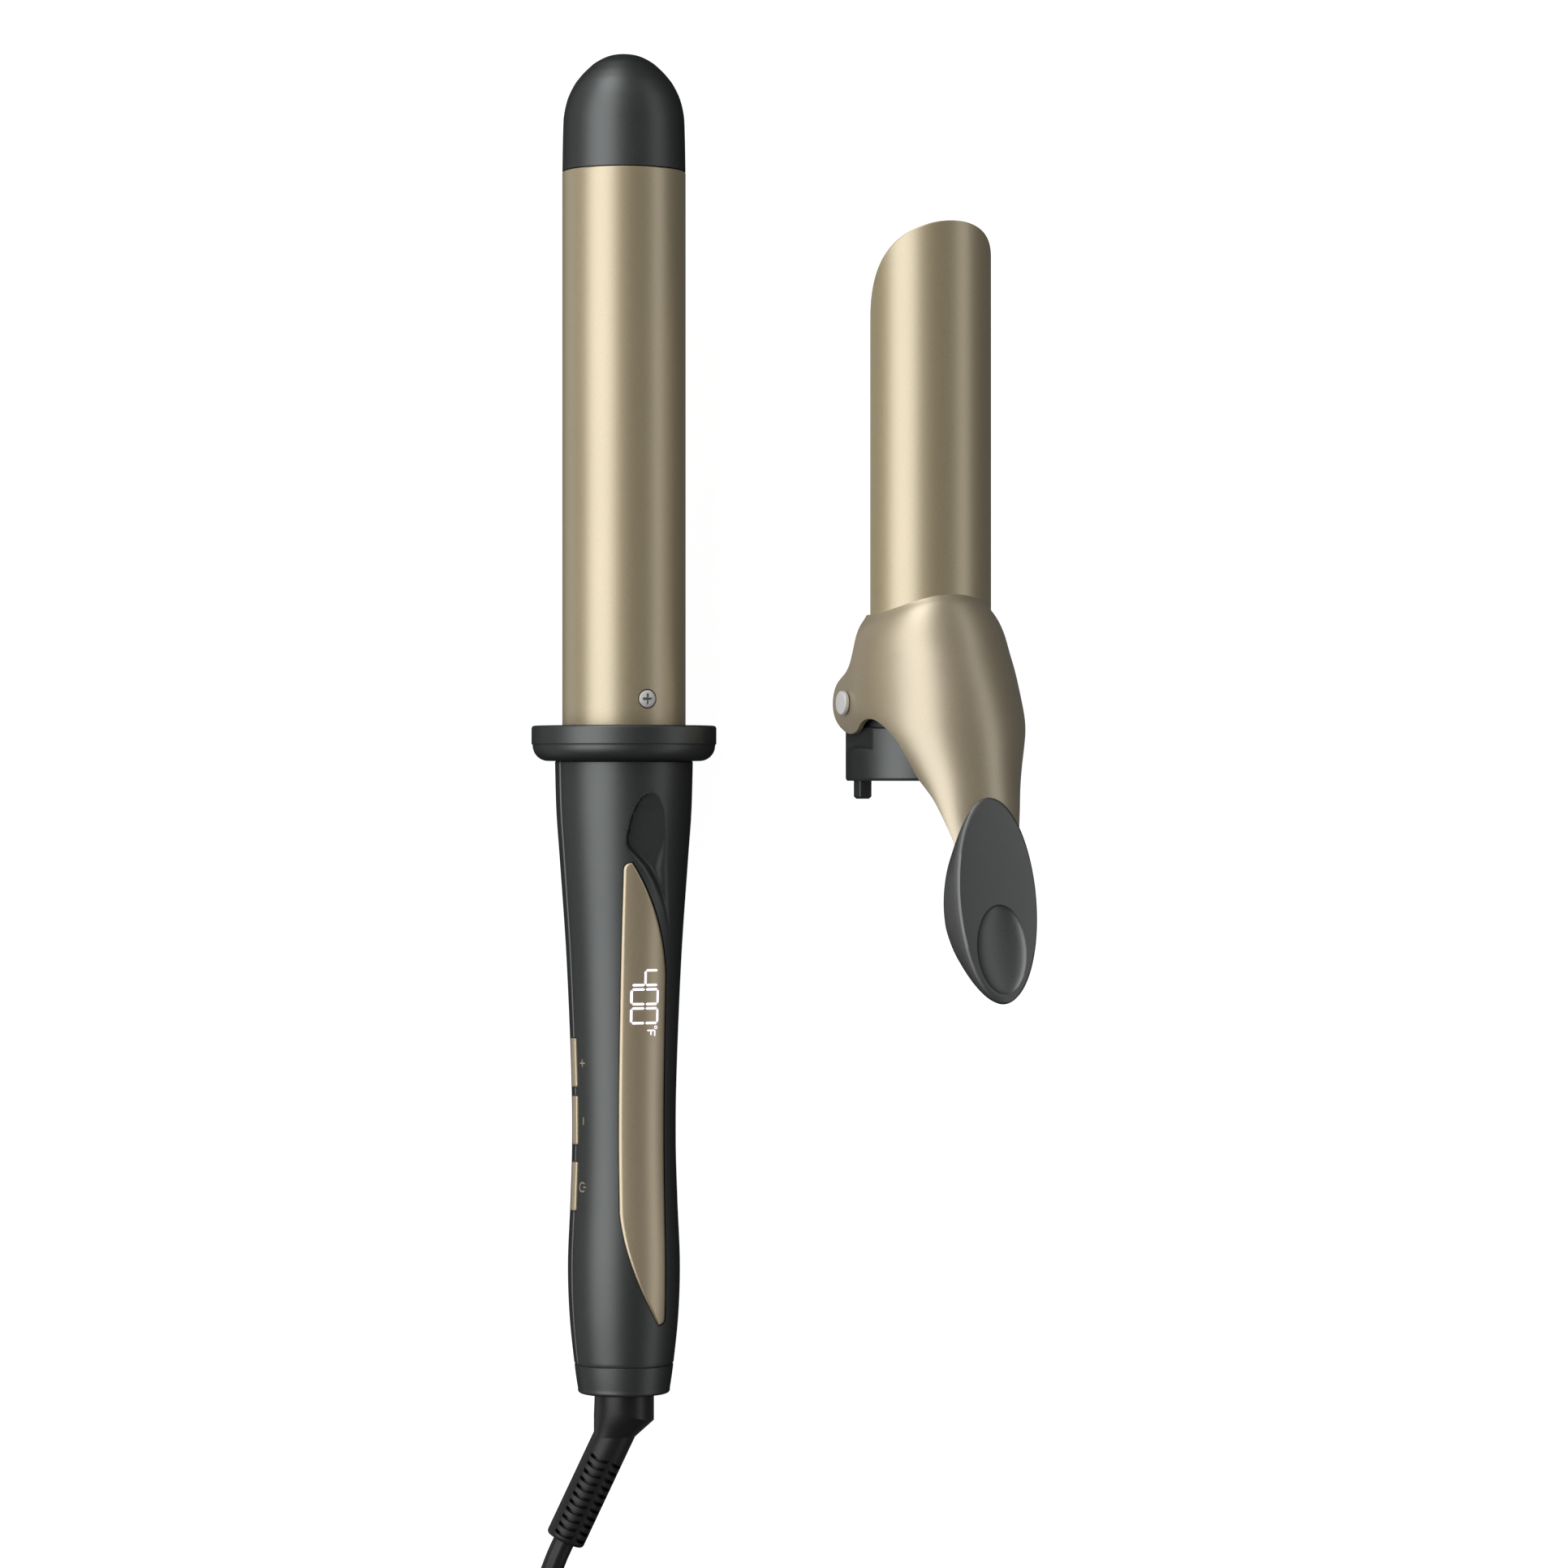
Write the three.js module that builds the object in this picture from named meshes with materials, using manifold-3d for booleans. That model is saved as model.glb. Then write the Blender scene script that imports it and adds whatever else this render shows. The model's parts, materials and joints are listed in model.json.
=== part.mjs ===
// A curling iron in two pieces lying on a table: a heated wand, and beside it the clip that slides over
// the barrel. Millimetres, +Z up. The wand lies along Y with its tip at +Y. The origin is on the table,
// below the middle of the box around wand and clip.
import * as THREE from 'three';
import { mergeVertices } from 'three/addons/utils/BufferGeometryUtils.js';
import Module from 'manifold-3d';

const wasm = await Module();
wasm.setup();

// ---------------------------------------------------------------- driving dimensions
const GAP = 0.3; // between neighbouring pieces
const TURN = THREE.MathUtils.degToRad(24); // how far wand and clip are rolled towards +X
const ROUND = 24; // sides of a turned piece

const WAND_X = -41.2;
const WAND_Y = 19.2; // the guard disc's upper face
const CLIP_X = 36.8;
const CLIP_Y = 5; // the clip collar's lower face

const BARREL = { radius: 15.88, wall: 1.5, length: 142.4, sunk: 8.6 };
const DISC = { radius: 23.8, height: 9.1, topRound: 0.7, lowRound: 3.2, bore: 16.2 };
const AXIS_Z = DISC.radius; // the disc rests on the table
const TIP = { base: 15.85, shoulder: 15.46, straight: 12.9, dome: 17.2, wall: 2, spigot: 8 };
const CARRIER = { radius: 14.05, bore: 11, top: 14, bottom: -30, shoulder: 15.2, shoulderLow: -13 };
const HEATER = { radius: 13.9, bottom: 17, top: 128, slot: 3.4 };
const HEATER_STRIP = { halfWidth: 5, bottom: 24, top: 124, halfThickness: 1.3 };
const INSULATOR = { bottom: 129, top: 132.5 };
const BARREL_SCREW = { y: 6.7, head: 2.2, shank: 1.3, proud: 0.25, crossLong: 1.4, crossShort: 0.25 };

// Handle outline, [distance below the disc's upper face, radius].
const HANDLE = [[9.4, 17.75], [22, 17.4], [34.7, 16.5], [59.7, 14.8], [89, 13.58], [107, 13.36],
  [122.4, 13.8], [138, 14.42], [151.7, 14.0], [165.2, 12.6], [172, 11.55]];
const SHELL_WALL = 2.2;
const END_CAP = { top: -164.3, bottom: -171.6, bore: 8.1 };
const HANDLE_SCREWS = [-38, -157.5];
const SHELL_SCREW = { head: 2.5, shank: 1.25, boss: 3, hole: 1.6, well: 2.9, seat: -9 };
const SCOOP = { y: -24.5, z: 19.4, halfWidth: 5.4, halfLength: 13, halfDepth: 4 }; // above the panel
const PANEL = { top: -34.9, bottom: -153.4, halfWidth: 6.3, sweep: 29, tip: 2.2, thickness: 1.2 };
const DISPLAY = { y: -73, length: 24, width: 10, depth: 4 };
const BUTTON = { length: 12.6, width: 3.2, proud: 0.45, flange: 0.8 };
const BUTTONS = { high: -86.4, low: -101.2, power: -118.1 };
const SIDE_BOARD_X = -6.3;

const SWIVEL = { radius: 7.75, top: -159.5, flange: 10, bend: -177.1, low: -182.5,
  heel: -179.2, heelSlope: THREE.MathUtils.degToRad(32) };
const RELIEF = { radius: 5.1, length: 36, angle: THREE.MathUtils.degToRad(25.2) };

// Above skirtTop the collar's skirt has two flats, for the hood's cheeks.
const COLLAR = { bore: 16.5, skirt: 20.9, skirtTop: 8, radius: 18.7, height: 29.7,
  peg: 3.4, pegX: 18.2, pegDrop: 4.6, lowSkirt: 13.6, flat: 19.3 };
const PIVOT = { y: 20, z: -2.5, boss: 3.6, bore: 1.9, shank: 1.6, head: 3.1, headTop: 23.4 };
const EAR = { inner: 20.4, outer: 21.9, radius: 8 };
const SPRING = { x: 19.55, radius: 4.6, wire: 0.45 };
const SPOON = { inner: 15.95, outer: 16.6, top: 143, halfAngle: THREE.MathUtils.degToRad(87),
  foot: 38, tip: 24 };
const HOOD_SHEET = 1.3;
const SQUEEZE = 11.3; // degrees the lever turns, and a little over
// Hood stations, [y, half width, height of the ridge, height of the side edge].
const HOOD = [[46.2, 17.6, 17.9, -1], [44, 18.4, 19.2, -1.6], [40.1, 19.6, 21.4, -1.8],
  [33.8, 20.9, 25.4, -1.8], [29.7, 21.4, 27.6, -1], [23.4, 21.8, 30, 0], [17.1, 21.7, 32, 2.4],
  [13, 20.7, 33, 7], [8.8, 17.6, 34, 15.5],
  [3.6, 15, 35, 20.5], [-1.7, 13, 36, 25], [-7.9, 11.3, 37, 29], [-16.3, 9.2, 38.4, 33.4],
  [-22, 7.8, 39, 35.4], [-34, 6, 40, 37.2]];
const PAD = { length: 52, halfWidth: 11, topY: -4.2, topZ: 37.6, slope: THREE.MathUtils.degToRad(9.5),
  depth: 9.5, flare: 0.13 }; // the body's walls lean out by this part of the half width
const DIMPLE = { halfLength: 11.4, halfWidth: 7, depth: 2.2, fromTop: 38.6 };

const CORD = { radius: 2.8, sides: 8 };
// The stored length: lanes of cord beside each other, in two layers, on a tie that lifts them a little.
const COIL = { x: -29, y: -252, inner: 20.3, outer: 42.7, bottom: 1.2, top: 12.4 };
const TIE = { width: 9, thickness: 0.9 };
const PLUG = { x: 8, y: -289.6, length: 26, width: 20, height: 13, boot: 14 };
const BLADE = { spacing: 12.7, width: 6.3, thickness: 1.5, length: 16 };

// The cord's free stretches, chosen by hand.
const LEAD_ROUTE = [[-60.9, -201, 22.7], [-63.8, -208.5, 18.8], [-66.2, -216.5, 13], [-67.9, -226, 7.9],
  [-68.8, -236, 4.9], [-68.9, -245, 4.05], [-68.9, -252, 4]];
const TAIL_ROUTE = [[-29, -291.9, 9.6], [-22, -291.9, 9.3], [-14, -291.6, 7.9], [-6, -290.9, 6.5],
  [1, -290, 6.2], [7.7, -289.6, 6.5]];

// ---------------------------------------------------------------- colours
const finish = (color, roughness, metalness = 0) =>
  new THREE.MeshStandardMaterial({ color, roughness, metalness });
const LOOK = {
  gold: finish(0xb9aa8c, 0.34, 0.75),
  graphite: finish(0x3a3d3e, 0.5),
  black: finish(0x1b1b1b, 0.55),
  steel: finish(0xb4b4b6, 0.3, 1),
  ceramic: finish(0xd8d4c8, 0.7),
  aluminium: finish(0xa9acb0, 0.45, 1),
  board: finish(0x1f5a3a, 0.6),
  copper: finish(0xb87333, 0.4, 1),
};

// ---------------------------------------------------------------- solids
function solid(geometry) {
  const plain = geometry.clone();
  plain.deleteAttribute('normal');
  plain.deleteAttribute('uv');
  const merged = mergeVertices(plain, 1e-4);
  const points = merged.attributes.position.array;
  const corner = (i) => new THREE.Vector3().fromArray(points, 3 * i);
  const triangles = [];
  let volume = 0;
  for (let i = 0; i < merged.index.count; i += 3) {
    const [a, b, c] = merged.index.array.slice(i, i + 3);
    if (a === b || b === c || a === c) continue;
    triangles.push([a, b, c]);
    volume += corner(a).dot(corner(b).cross(corner(c)));
  }
  const facing = volume > 0 ? triangles : triangles.map(([a, b, c]) => [a, c, b]);
  return new wasm.Manifold(new wasm.Mesh({
    numProp: 3,
    vertProperties: new Float32Array(points),
    triVerts: new Uint32Array(facing.flat()),
  }));
}

function skin(body) {
  const mesh = body.getMesh();
  const geometry = new THREE.BufferGeometry();
  geometry.setAttribute('position', new THREE.BufferAttribute(mesh.vertProperties, 3));
  geometry.setIndex(new THREE.BufferAttribute(mesh.triVerts, 1));
  geometry.computeVertexNormals();
  return geometry;
}

// A profile of [radius, y] pairs turned about Y.
const turned = (profile, sides = ROUND) => solid(
  new THREE.LatheGeometry([...profile, profile[0]].map(([r, y]) => new THREE.Vector2(r, y)), sides));

const box = (x, y, z) => solid(new THREE.BoxGeometry(x[1] - x[0], y[1] - y[0], z[1] - z[0])
  .translate((x[0] + x[1]) / 2, (y[0] + y[1]) / 2, (z[0] + z[1]) / 2));

// A round rod between two points.
function rod(from, to, radius, sides = 14) {
  const [a, b] = [new THREE.Vector3(...from), new THREE.Vector3(...to)];
  const along = b.clone().sub(a);
  const turn = new THREE.Quaternion()
    .setFromUnitVectors(new THREE.Vector3(0, 1, 0), along.clone().normalize());
  const place = new THREE.Matrix4()
    .compose(a.add(b).multiplyScalar(0.5), turn, new THREE.Vector3(1, 1, 1));
  return solid(new THREE.CylinderGeometry(radius, radius, along.length(), sides).applyMatrix4(place));
}

// A tube of given radius along a list of points.
function tube(points, radius, steps, sides = CORD.sides) {
  const path = new THREE.CatmullRomCurve3(points.map((p) => new THREE.Vector3(...p)), false, 'centripetal');
  const section = new THREE.Shape();
  section.absarc(0, 0, radius, 0, 2 * Math.PI);
  return solid(new THREE.ExtrudeGeometry(section,
    { steps, extrudePath: path, curveSegments: sides, bevelEnabled: false }));
}

// A closed sheet between two grids of points, outer(u, v) and inner(u, v), with u and v from 0 to 1.
function sheet(outer, inner, rows, columns) {
  const points = [];
  const index = [];
  const at = (side, i, j) => (side * rows + i) * columns + j;
  for (const surface of [outer, inner]) {
    for (let i = 0; i < rows; i++) {
      for (let j = 0; j < columns; j++) points.push(...surface(i / (rows - 1), j / (columns - 1)));
    }
  }
  const quad = (a, b, c, d) => index.push(a, b, c, a, c, d);
  for (let i = 0; i < rows - 1; i++) {
    for (let j = 0; j < columns - 1; j++) {
      quad(at(0, i, j), at(0, i, j + 1), at(0, i + 1, j + 1), at(0, i + 1, j));
      quad(at(1, i, j), at(1, i + 1, j), at(1, i + 1, j + 1), at(1, i, j + 1));
    }
    quad(at(0, i, 0), at(0, i + 1, 0), at(1, i + 1, 0), at(1, i, 0));
    quad(at(0, i, columns - 1), at(1, i, columns - 1), at(1, i + 1, columns - 1), at(0, i + 1, columns - 1));
  }
  for (let j = 0; j < columns - 1; j++) {
    quad(at(0, 0, j), at(1, 0, j), at(1, 0, j + 1), at(0, 0, j + 1));
    quad(at(0, rows - 1, j), at(0, rows - 1, j + 1), at(1, rows - 1, j + 1), at(1, rows - 1, j));
  }
  const geometry = new THREE.BufferGeometry();
  geometry.setAttribute('position', new THREE.Float32BufferAttribute(points, 3));
  geometry.setIndex(index);
  return solid(geometry);
}

const both = (make) => [-1, 1].map(make);

// ---------------------------------------------------------------- the assembly
const curlingIron = new THREE.Group();
const wand = new THREE.Group();
const swivel = new THREE.Group();
const clip = new THREE.Group();
wand.position.set(WAND_X, WAND_Y, AXIS_Z);
wand.rotation.y = TURN;
swivel.position.copy(wand.position);
clip.position.set(CLIP_X, CLIP_Y, COLLAR.skirt);
clip.rotation.y = TURN;
curlingIron.add(wand, swivel, clip);

function add(group, name, body, look) {
  const mesh = new THREE.Mesh(skin(body), look);
  mesh.name = name;
  group.add(mesh);
}

// ---------------------------------------------------------------- barrel and heater
function screw(y, side) {
  const at = (z) => [0, y, side * z];
  const headTop = BARREL.radius + BARREL_SCREW.proud;
  const { crossLong, crossShort } = BARREL_SCREW;
  const cross = [[crossShort, crossLong], [crossLong, crossShort]].map(([x, h]) => box(
    [-x, x], [y - h, y + h],
    side > 0 ? [headTop - 0.6, headTop + 1] : [-headTop - 1, -headTop + 0.6]));
  return rod(at(10.4), at(BARREL.radius - 1.1), BARREL_SCREW.shank)
    .add(rod(at(BARREL.radius - 1.2), at(headTop), BARREL_SCREW.head))
    .subtract(cross[0].add(cross[1]));
}

const crossHole = (y, radius, low, high) => rod([0, y, low], [0, y, high], radius);
const inside = BARREL.radius - BARREL.wall;
add(wand, 'barrel_tube', turned([[inside, -BARREL.sunk], [BARREL.radius, -BARREL.sunk],
  [BARREL.radius, BARREL.length], [inside, BARREL.length]])
  .subtract(crossHole(BARREL_SCREW.y, BARREL_SCREW.head + GAP, -BARREL.radius - 1, BARREL.radius + 1)),
LOOK.gold);

function domeProfile(offset) {
  const base = BARREL.length + GAP;
  const points = [[TIP.base - offset, base], [TIP.shoulder - offset, base + TIP.straight]];
  const steps = 6;
  for (let i = 1; i <= steps; i++) {
    const angle = (i / steps) * Math.PI / 2;
    points.push([(TIP.shoulder - offset) * Math.cos(angle),
      base + TIP.straight + (TIP.dome - offset) * Math.sin(angle)]);
  }
  return points;
}
const spigotRadius = inside - GAP;
add(wand, 'cool_tip', turned([[spigotRadius, BARREL.length - TIP.spigot],
  [spigotRadius, BARREL.length + GAP], ...domeProfile(0), ...domeProfile(TIP.wall).reverse(),
  [spigotRadius - TIP.wall, BARREL.length + GAP], [spigotRadius - TIP.wall, BARREL.length - TIP.spigot]]), LOOK.graphite);
add(wand, 'tip_insulator', turned([[0, INSULATOR.bottom], [spigotRadius, INSULATOR.bottom],
  [spigotRadius, INSULATOR.top], [0, INSULATOR.top]]), LOOK.ceramic);

const heaterRod = () => turned([[0, HEATER.bottom], [HEATER.radius, HEATER.bottom],
  [HEATER.radius, HEATER.top], [0, HEATER.top]], 24);
for (const [name, side] of [['front', 1], ['rear', -1]]) {
  const half = [HEATER.slot / 2, HEATER.radius + 1].map((z) => side * z).sort((a, b) => a - b);
  add(wand, `heat_spreader_${name}`,
    heaterRod().intersect(box([-20, 20], [0, 140], half)), LOOK.aluminium);
}
add(wand, 'ptc_heater_strip', box([-HEATER_STRIP.halfWidth, HEATER_STRIP.halfWidth],
  [HEATER_STRIP.bottom, HEATER_STRIP.top], [-HEATER_STRIP.halfThickness, HEATER_STRIP.halfThickness]),
LOOK.ceramic);
add(wand, 'temperature_sensor', rod([8, 19, 0], [8, 34, 0], 1.2, 12), LOOK.steel);
add(wand, 'thermal_fuse', rod([0, -24, -6], [0, -8, -6], 2, 16), LOOK.steel);

add(wand, 'barrel_carrier', turned([[CARRIER.bore, CARRIER.bottom], [CARRIER.radius, CARRIER.bottom],
  [CARRIER.radius, CARRIER.shoulderLow], [CARRIER.shoulder, CARRIER.shoulderLow],
  [CARRIER.shoulder, -BARREL.sunk - GAP - 0.3],
  [CARRIER.radius, -BARREL.sunk - GAP - 0.3], [CARRIER.radius, CARRIER.top], [CARRIER.bore, CARRIER.top]])
  .subtract(crossHole(BARREL_SCREW.y, BARREL_SCREW.shank + GAP, -20, 20)), LOOK.ceramic);
add(wand, 'barrel_screw_front', screw(BARREL_SCREW.y, 1), LOOK.steel);
add(wand, 'barrel_screw_rear', screw(BARREL_SCREW.y, -1), LOOK.steel);

function rounded(x, y, radius, from, to, steps = 4) {
  return Array.from({ length: steps + 1 }, (_, i) => {
    const angle = THREE.MathUtils.degToRad(from + (to - from) * i / steps);
    return [x + radius * Math.cos(angle), y + radius * Math.sin(angle)];
  });
}
const pegSlots = (grow, low, high) => both((side) => box(
  [side * COLLAR.pegX - COLLAR.peg / 2 - grow, side * COLLAR.pegX + COLLAR.peg / 2 + grow],
  [low, high], [-2 - grow, 2 + grow]));
const [slotLeft, slotRight] = pegSlots(0.4, -5.4, 1);
add(wand, 'heat_guard_disc', turned([[DISC.bore, 0],
  ...rounded(DISC.radius - DISC.topRound, -DISC.topRound, DISC.topRound, 90, 0, 3),
  ...rounded(DISC.radius - DISC.lowRound, DISC.lowRound - DISC.height, DISC.lowRound, 0, -90, 4),
  [DISC.bore, -DISC.height]], 32).subtract(slotLeft).subtract(slotRight), LOOK.graphite);

// ---------------------------------------------------------------- handle
const outline = new THREE.SplineCurve(HANDLE.map(([y, r]) => new THREE.Vector2(r, -y)));
const stations = outline.getPoints(12).map((p) => [p.x, p.y]);
const radiusAt = (y) => {
  const i = Math.max(1, stations.findIndex(([, low]) => low <= y));
  const [[r0, y0], [r1, y1]] = [stations[i - 1], stations[i]];
  return r0 + (r1 - r0) * (y - y0) / (y1 - y0);
};
const handleSolid = (offset, top, bottom) => {
  const kept = stations.filter(([, y]) => y < top - 0.5 && y > bottom + 0.5);
  return turned([[0, top], [radiusAt(top) - offset, top], ...kept.map(([r, y]) => [r - offset, y]),
    [radiusAt(bottom) - offset, bottom], [0, bottom]]);
};
const handleTop = -DISC.height - GAP;
const shoulderRoom = CARRIER.shoulderLow - 0.4;
const shellTube = () => handleSolid(0, handleTop, END_CAP.top + GAP)
  .subtract(handleSolid(SHELL_WALL, handleTop + 1, END_CAP.top + GAP - 1)
    .add(turned([[0, handleTop + 2], [CARRIER.shoulder + GAP, handleTop + 2],
      [CARRIER.shoulder + GAP, shoulderRoom], [0, shoulderRoom]])));

// The panel's leaf outline: straight sides, and a long sweep to a small round tip at each end.
function leaf(grow) {
  const w = PANEL.halfWidth + grow;
  const [top, bottom] = [PANEL.top + grow, PANEL.bottom - grow];
  const shape = new THREE.Shape();
  shape.moveTo(-w, top - PANEL.tip);
  shape.quadraticCurveTo(-w, top, -w + PANEL.tip + 2 * grow, top);
  shape.quadraticCurveTo(w - 1, top - PANEL.sweep / 2, w, top - PANEL.sweep);
  shape.lineTo(w, bottom + PANEL.tip);
  shape.quadraticCurveTo(w, bottom, w - PANEL.tip - 2 * grow, bottom);
  shape.quadraticCurveTo(-w + 1, bottom + PANEL.sweep / 2, -w, bottom + PANEL.sweep);
  shape.closePath();
  return solid(new THREE.ExtrudeGeometry(shape, { depth: 20, bevelEnabled: false, curveSegments: 4 }));
}
const pocket = () => leaf(GAP).subtract(handleSolid(PANEL.thickness + GAP, handleTop, END_CAP.top));
const displayWindow = () => box([-DISPLAY.width / 2 + 1, DISPLAY.width / 2 - 1],
  [DISPLAY.y - DISPLAY.length / 2 + 1, DISPLAY.y + DISPLAY.length / 2 - 1], [5, 20]);
const buttonWindow = (y) => box([-16, -9], [y - BUTTON.length / 2 - GAP, y + BUTTON.length / 2 + GAP],
  [-BUTTON.width / 2 - GAP, BUTTON.width / 2 + GAP]);
// A scoop at the top of the handle, below the clip's tail.
const scoop = () => solid(new THREE.SphereGeometry(1, 14, 8)
  .scale(SCOOP.halfWidth, SCOOP.halfLength, SCOOP.halfDepth).translate(0, SCOOP.y, SCOOP.z));

function shell(side) {
  const half = [GAP / 2, 20].map((z) => side * z).sort((a, b) => a - b);
  let body = shellTube();
  for (const y of HANDLE_SCREWS) {
    body = body.add(rod([0, y, side * 1], [0, y, side * (radiusAt(y) - SHELL_WALL + 0.6)],
      SHELL_SCREW.boss, 14));
    body = body.subtract(rod([0, y, SHELL_SCREW.seat], [0, y, -SHELL_SCREW.seat], SHELL_SCREW.hole, 14));
    if (side < 0) body = body.subtract(rod([0, y, -20], [0, y, SHELL_SCREW.seat], SHELL_SCREW.well, 14));
  }
  for (const y of Object.values(BUTTONS)) body = body.subtract(buttonWindow(y));
  if (side > 0) body = body.subtract(pocket()).subtract(displayWindow()).subtract(scoop());
  return body.intersect(box([-20, 20], [-180, 0], half));
}
add(wand, 'handle_front_shell', shell(1), LOOK.graphite);
add(wand, 'handle_rear_shell', shell(-1), LOOK.graphite);
HANDLE_SCREWS.forEach((y, i) => {
  add(wand, `handle_screw_${['upper', 'lower'][i]}`,
    rod([0, y, SHELL_SCREW.seat - 2.6], [0, y, SHELL_SCREW.seat - 0.4], SHELL_SCREW.head, 14)
      .add(rod([0, y, SHELL_SCREW.seat - 0.5], [0, y, 7], SHELL_SCREW.shank, 14)), LOOK.steel);
});
add(wand, 'handle_end_cap', handleSolid(0, END_CAP.top, END_CAP.bottom)
  .subtract(turned([[0, 0], [END_CAP.bore, 0], [END_CAP.bore, -180], [0, -180]], 24))
  .subtract(turned([[0, -160], [SWIVEL.flange + GAP, -160], [SWIVEL.flange + GAP, -167.5], [0, -167.5]], 24)),
LOOK.graphite);
add(wand, 'display_panel', leaf(0).intersect(handleSolid(0, handleTop, END_CAP.top))
  .subtract(handleSolid(PANEL.thickness, handleTop, END_CAP.top)), LOOK.gold);

// ---------------------------------------------------------------- electronics in the handle
const boardTop = 3.6;
add(wand, 'control_board', box([-4.6, 8.6], [-148, -50], [2, boardTop]), LOOK.board);
add(wand, 'display_module', box([-DISPLAY.width / 2 + 1.4, DISPLAY.width / 2 - 1.4],
  [DISPLAY.y - DISPLAY.length / 2 + 1.4, DISPLAY.y + DISPLAY.length / 2 - 1.4],
  [boardTop + GAP, boardTop + GAP + DISPLAY.depth + 3]), LOOK.black);
add(wand, 'switch_board', box([SIDE_BOARD_X - 1, SIDE_BOARD_X], [-126, -79], [-5, 5]), LOOK.board);
const plungerX = SIDE_BOARD_X - 1 - GAP;
for (const [name, y] of Object.entries(BUTTONS)) {
  add(wand, `tact_switch_${name}`, box([plungerX - 1.2, plungerX], [y - 2.2, y + 2.2], [-2.2, 2.2])
    .add(rod([plungerX - 1.4, y, 0], [plungerX - 1, y, 0], 1, 12)), LOOK.black);
  const outer = radiusAt(y);
  const narrowest = Math.min(radiusAt(y - BUTTON.length / 2), outer, radiusAt(y + BUTTON.length / 2));
  const flangeX = SHELL_WALL + 0.75 - narrowest;
  add(wand, `button_${name}`,
    box([-outer - BUTTON.proud, flangeX + 0.1], [y - BUTTON.length / 2, y + BUTTON.length / 2],
      [-BUTTON.width / 2, BUTTON.width / 2])
      .add(box([flangeX, flangeX + BUTTON.flange], [y - BUTTON.length / 2 - 0.8, y + BUTTON.length / 2 + 0.8],
        [-2.3, 2.3])), LOOK.gold);
}
for (const [name, side] of [['live', -1], ['neutral', 1]]) {
  add(wand, `heater_wire_${name}`, tube([[side * 3, 23.4, 0], [side * 4, 10, 0], [side * 7, -10, 2],
    [side * 6.5, -32, 3], [side * 3 + 2, -49.5, 2.8]], 0.8, 12, 6), LOOK.copper);
}
add(wand, 'swivel_contact_block', box([-6, 6], [-156, -151], [-6, 1.7])
  .subtract(rod([0, HANDLE_SCREWS[1], -20], [0, HANDLE_SCREWS[1], 20], 3.4, 14)), LOOK.black);

// ---------------------------------------------------------------- cord swivel and strain relief
const reliefWay = [-Math.sin(RELIEF.angle), -Math.cos(RELIEF.angle), 0];
const alongRelief = (distance) => [reliefWay[0] * distance, SWIVEL.bend + reliefWay[1] * distance, 0];
function relief(grow) {
  const geometry = new THREE.LatheGeometry([[0, grow], [3.6 + grow, grow], [RELIEF.radius + grow, -1.5],
    [RELIEF.radius + grow, 1.6 - RELIEF.length], [RELIEF.radius - 1.6 + grow, -RELIEF.length],
    [0, -RELIEF.length]]
    .map(([r, y]) => new THREE.Vector2(r, y)), 24);
  return solid(geometry.rotateZ(-RELIEF.angle).translate(0, SWIVEL.bend, 0));
}
add(swivel, 'swivel_neck', turned([[0, SWIVEL.top - 1.5], [SWIVEL.radius, SWIVEL.top - 1.5],
  [SWIVEL.radius, SWIVEL.top - 3], [SWIVEL.flange, SWIVEL.top - 3], [SWIVEL.flange, SWIVEL.top - 7],
  [SWIVEL.radius, SWIVEL.top - 7], [SWIVEL.radius, SWIVEL.low], [0, SWIVEL.low]], 28)
  .subtract(relief(GAP))
  .subtract(solid(new THREE.BoxGeometry(60, 20, 60).translate(0, -10, 0).rotateZ(SWIVEL.heelSlope)
    .translate(SWIVEL.radius, SWIVEL.heel, 0))), LOOK.black);
add(swivel, 'cord_strain_relief', relief(0), LOOK.black);

// ---------------------------------------------------------------- clip: collar, pins, springs
const ringSolid = turned([[COLLAR.bore, 0], [COLLAR.skirt, 0], [COLLAR.skirt, COLLAR.skirtTop],
  [COLLAR.radius, COLLAR.skirtTop + 1.5], [COLLAR.radius, COLLAR.height], [COLLAR.bore, COLLAR.height]]);
const lowSkirt = turned([[COLLAR.bore, 1], [COLLAR.skirt, 1], [COLLAR.skirt, COLLAR.lowSkirt],
  [COLLAR.bore, COLLAR.lowSkirt]])
  .intersect(box([-COLLAR.flat, COLLAR.flat], [0, COLLAR.lowSkirt + 1], [-25, 3]));
const [pegLeft, pegRight] = pegSlots(0, -COLLAR.pegDrop, 1);
const bosses = both((side) => rod([side * 17, PIVOT.y, PIVOT.z], [side * (EAR.inner - GAP), PIVOT.y, PIVOT.z],
  PIVOT.boss));
add(clip, 'clip_collar', ringSolid.add(lowSkirt).add(pegLeft).add(pegRight).add(bosses[0]).add(bosses[1])
  .subtract(rod([-30, PIVOT.y, PIVOT.z], [30, PIVOT.y, PIVOT.z], PIVOT.bore))
  .subtract(turned([[0, -9], [COLLAR.bore, -9], [COLLAR.bore, 40], [0, 40]])), LOOK.graphite);
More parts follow.
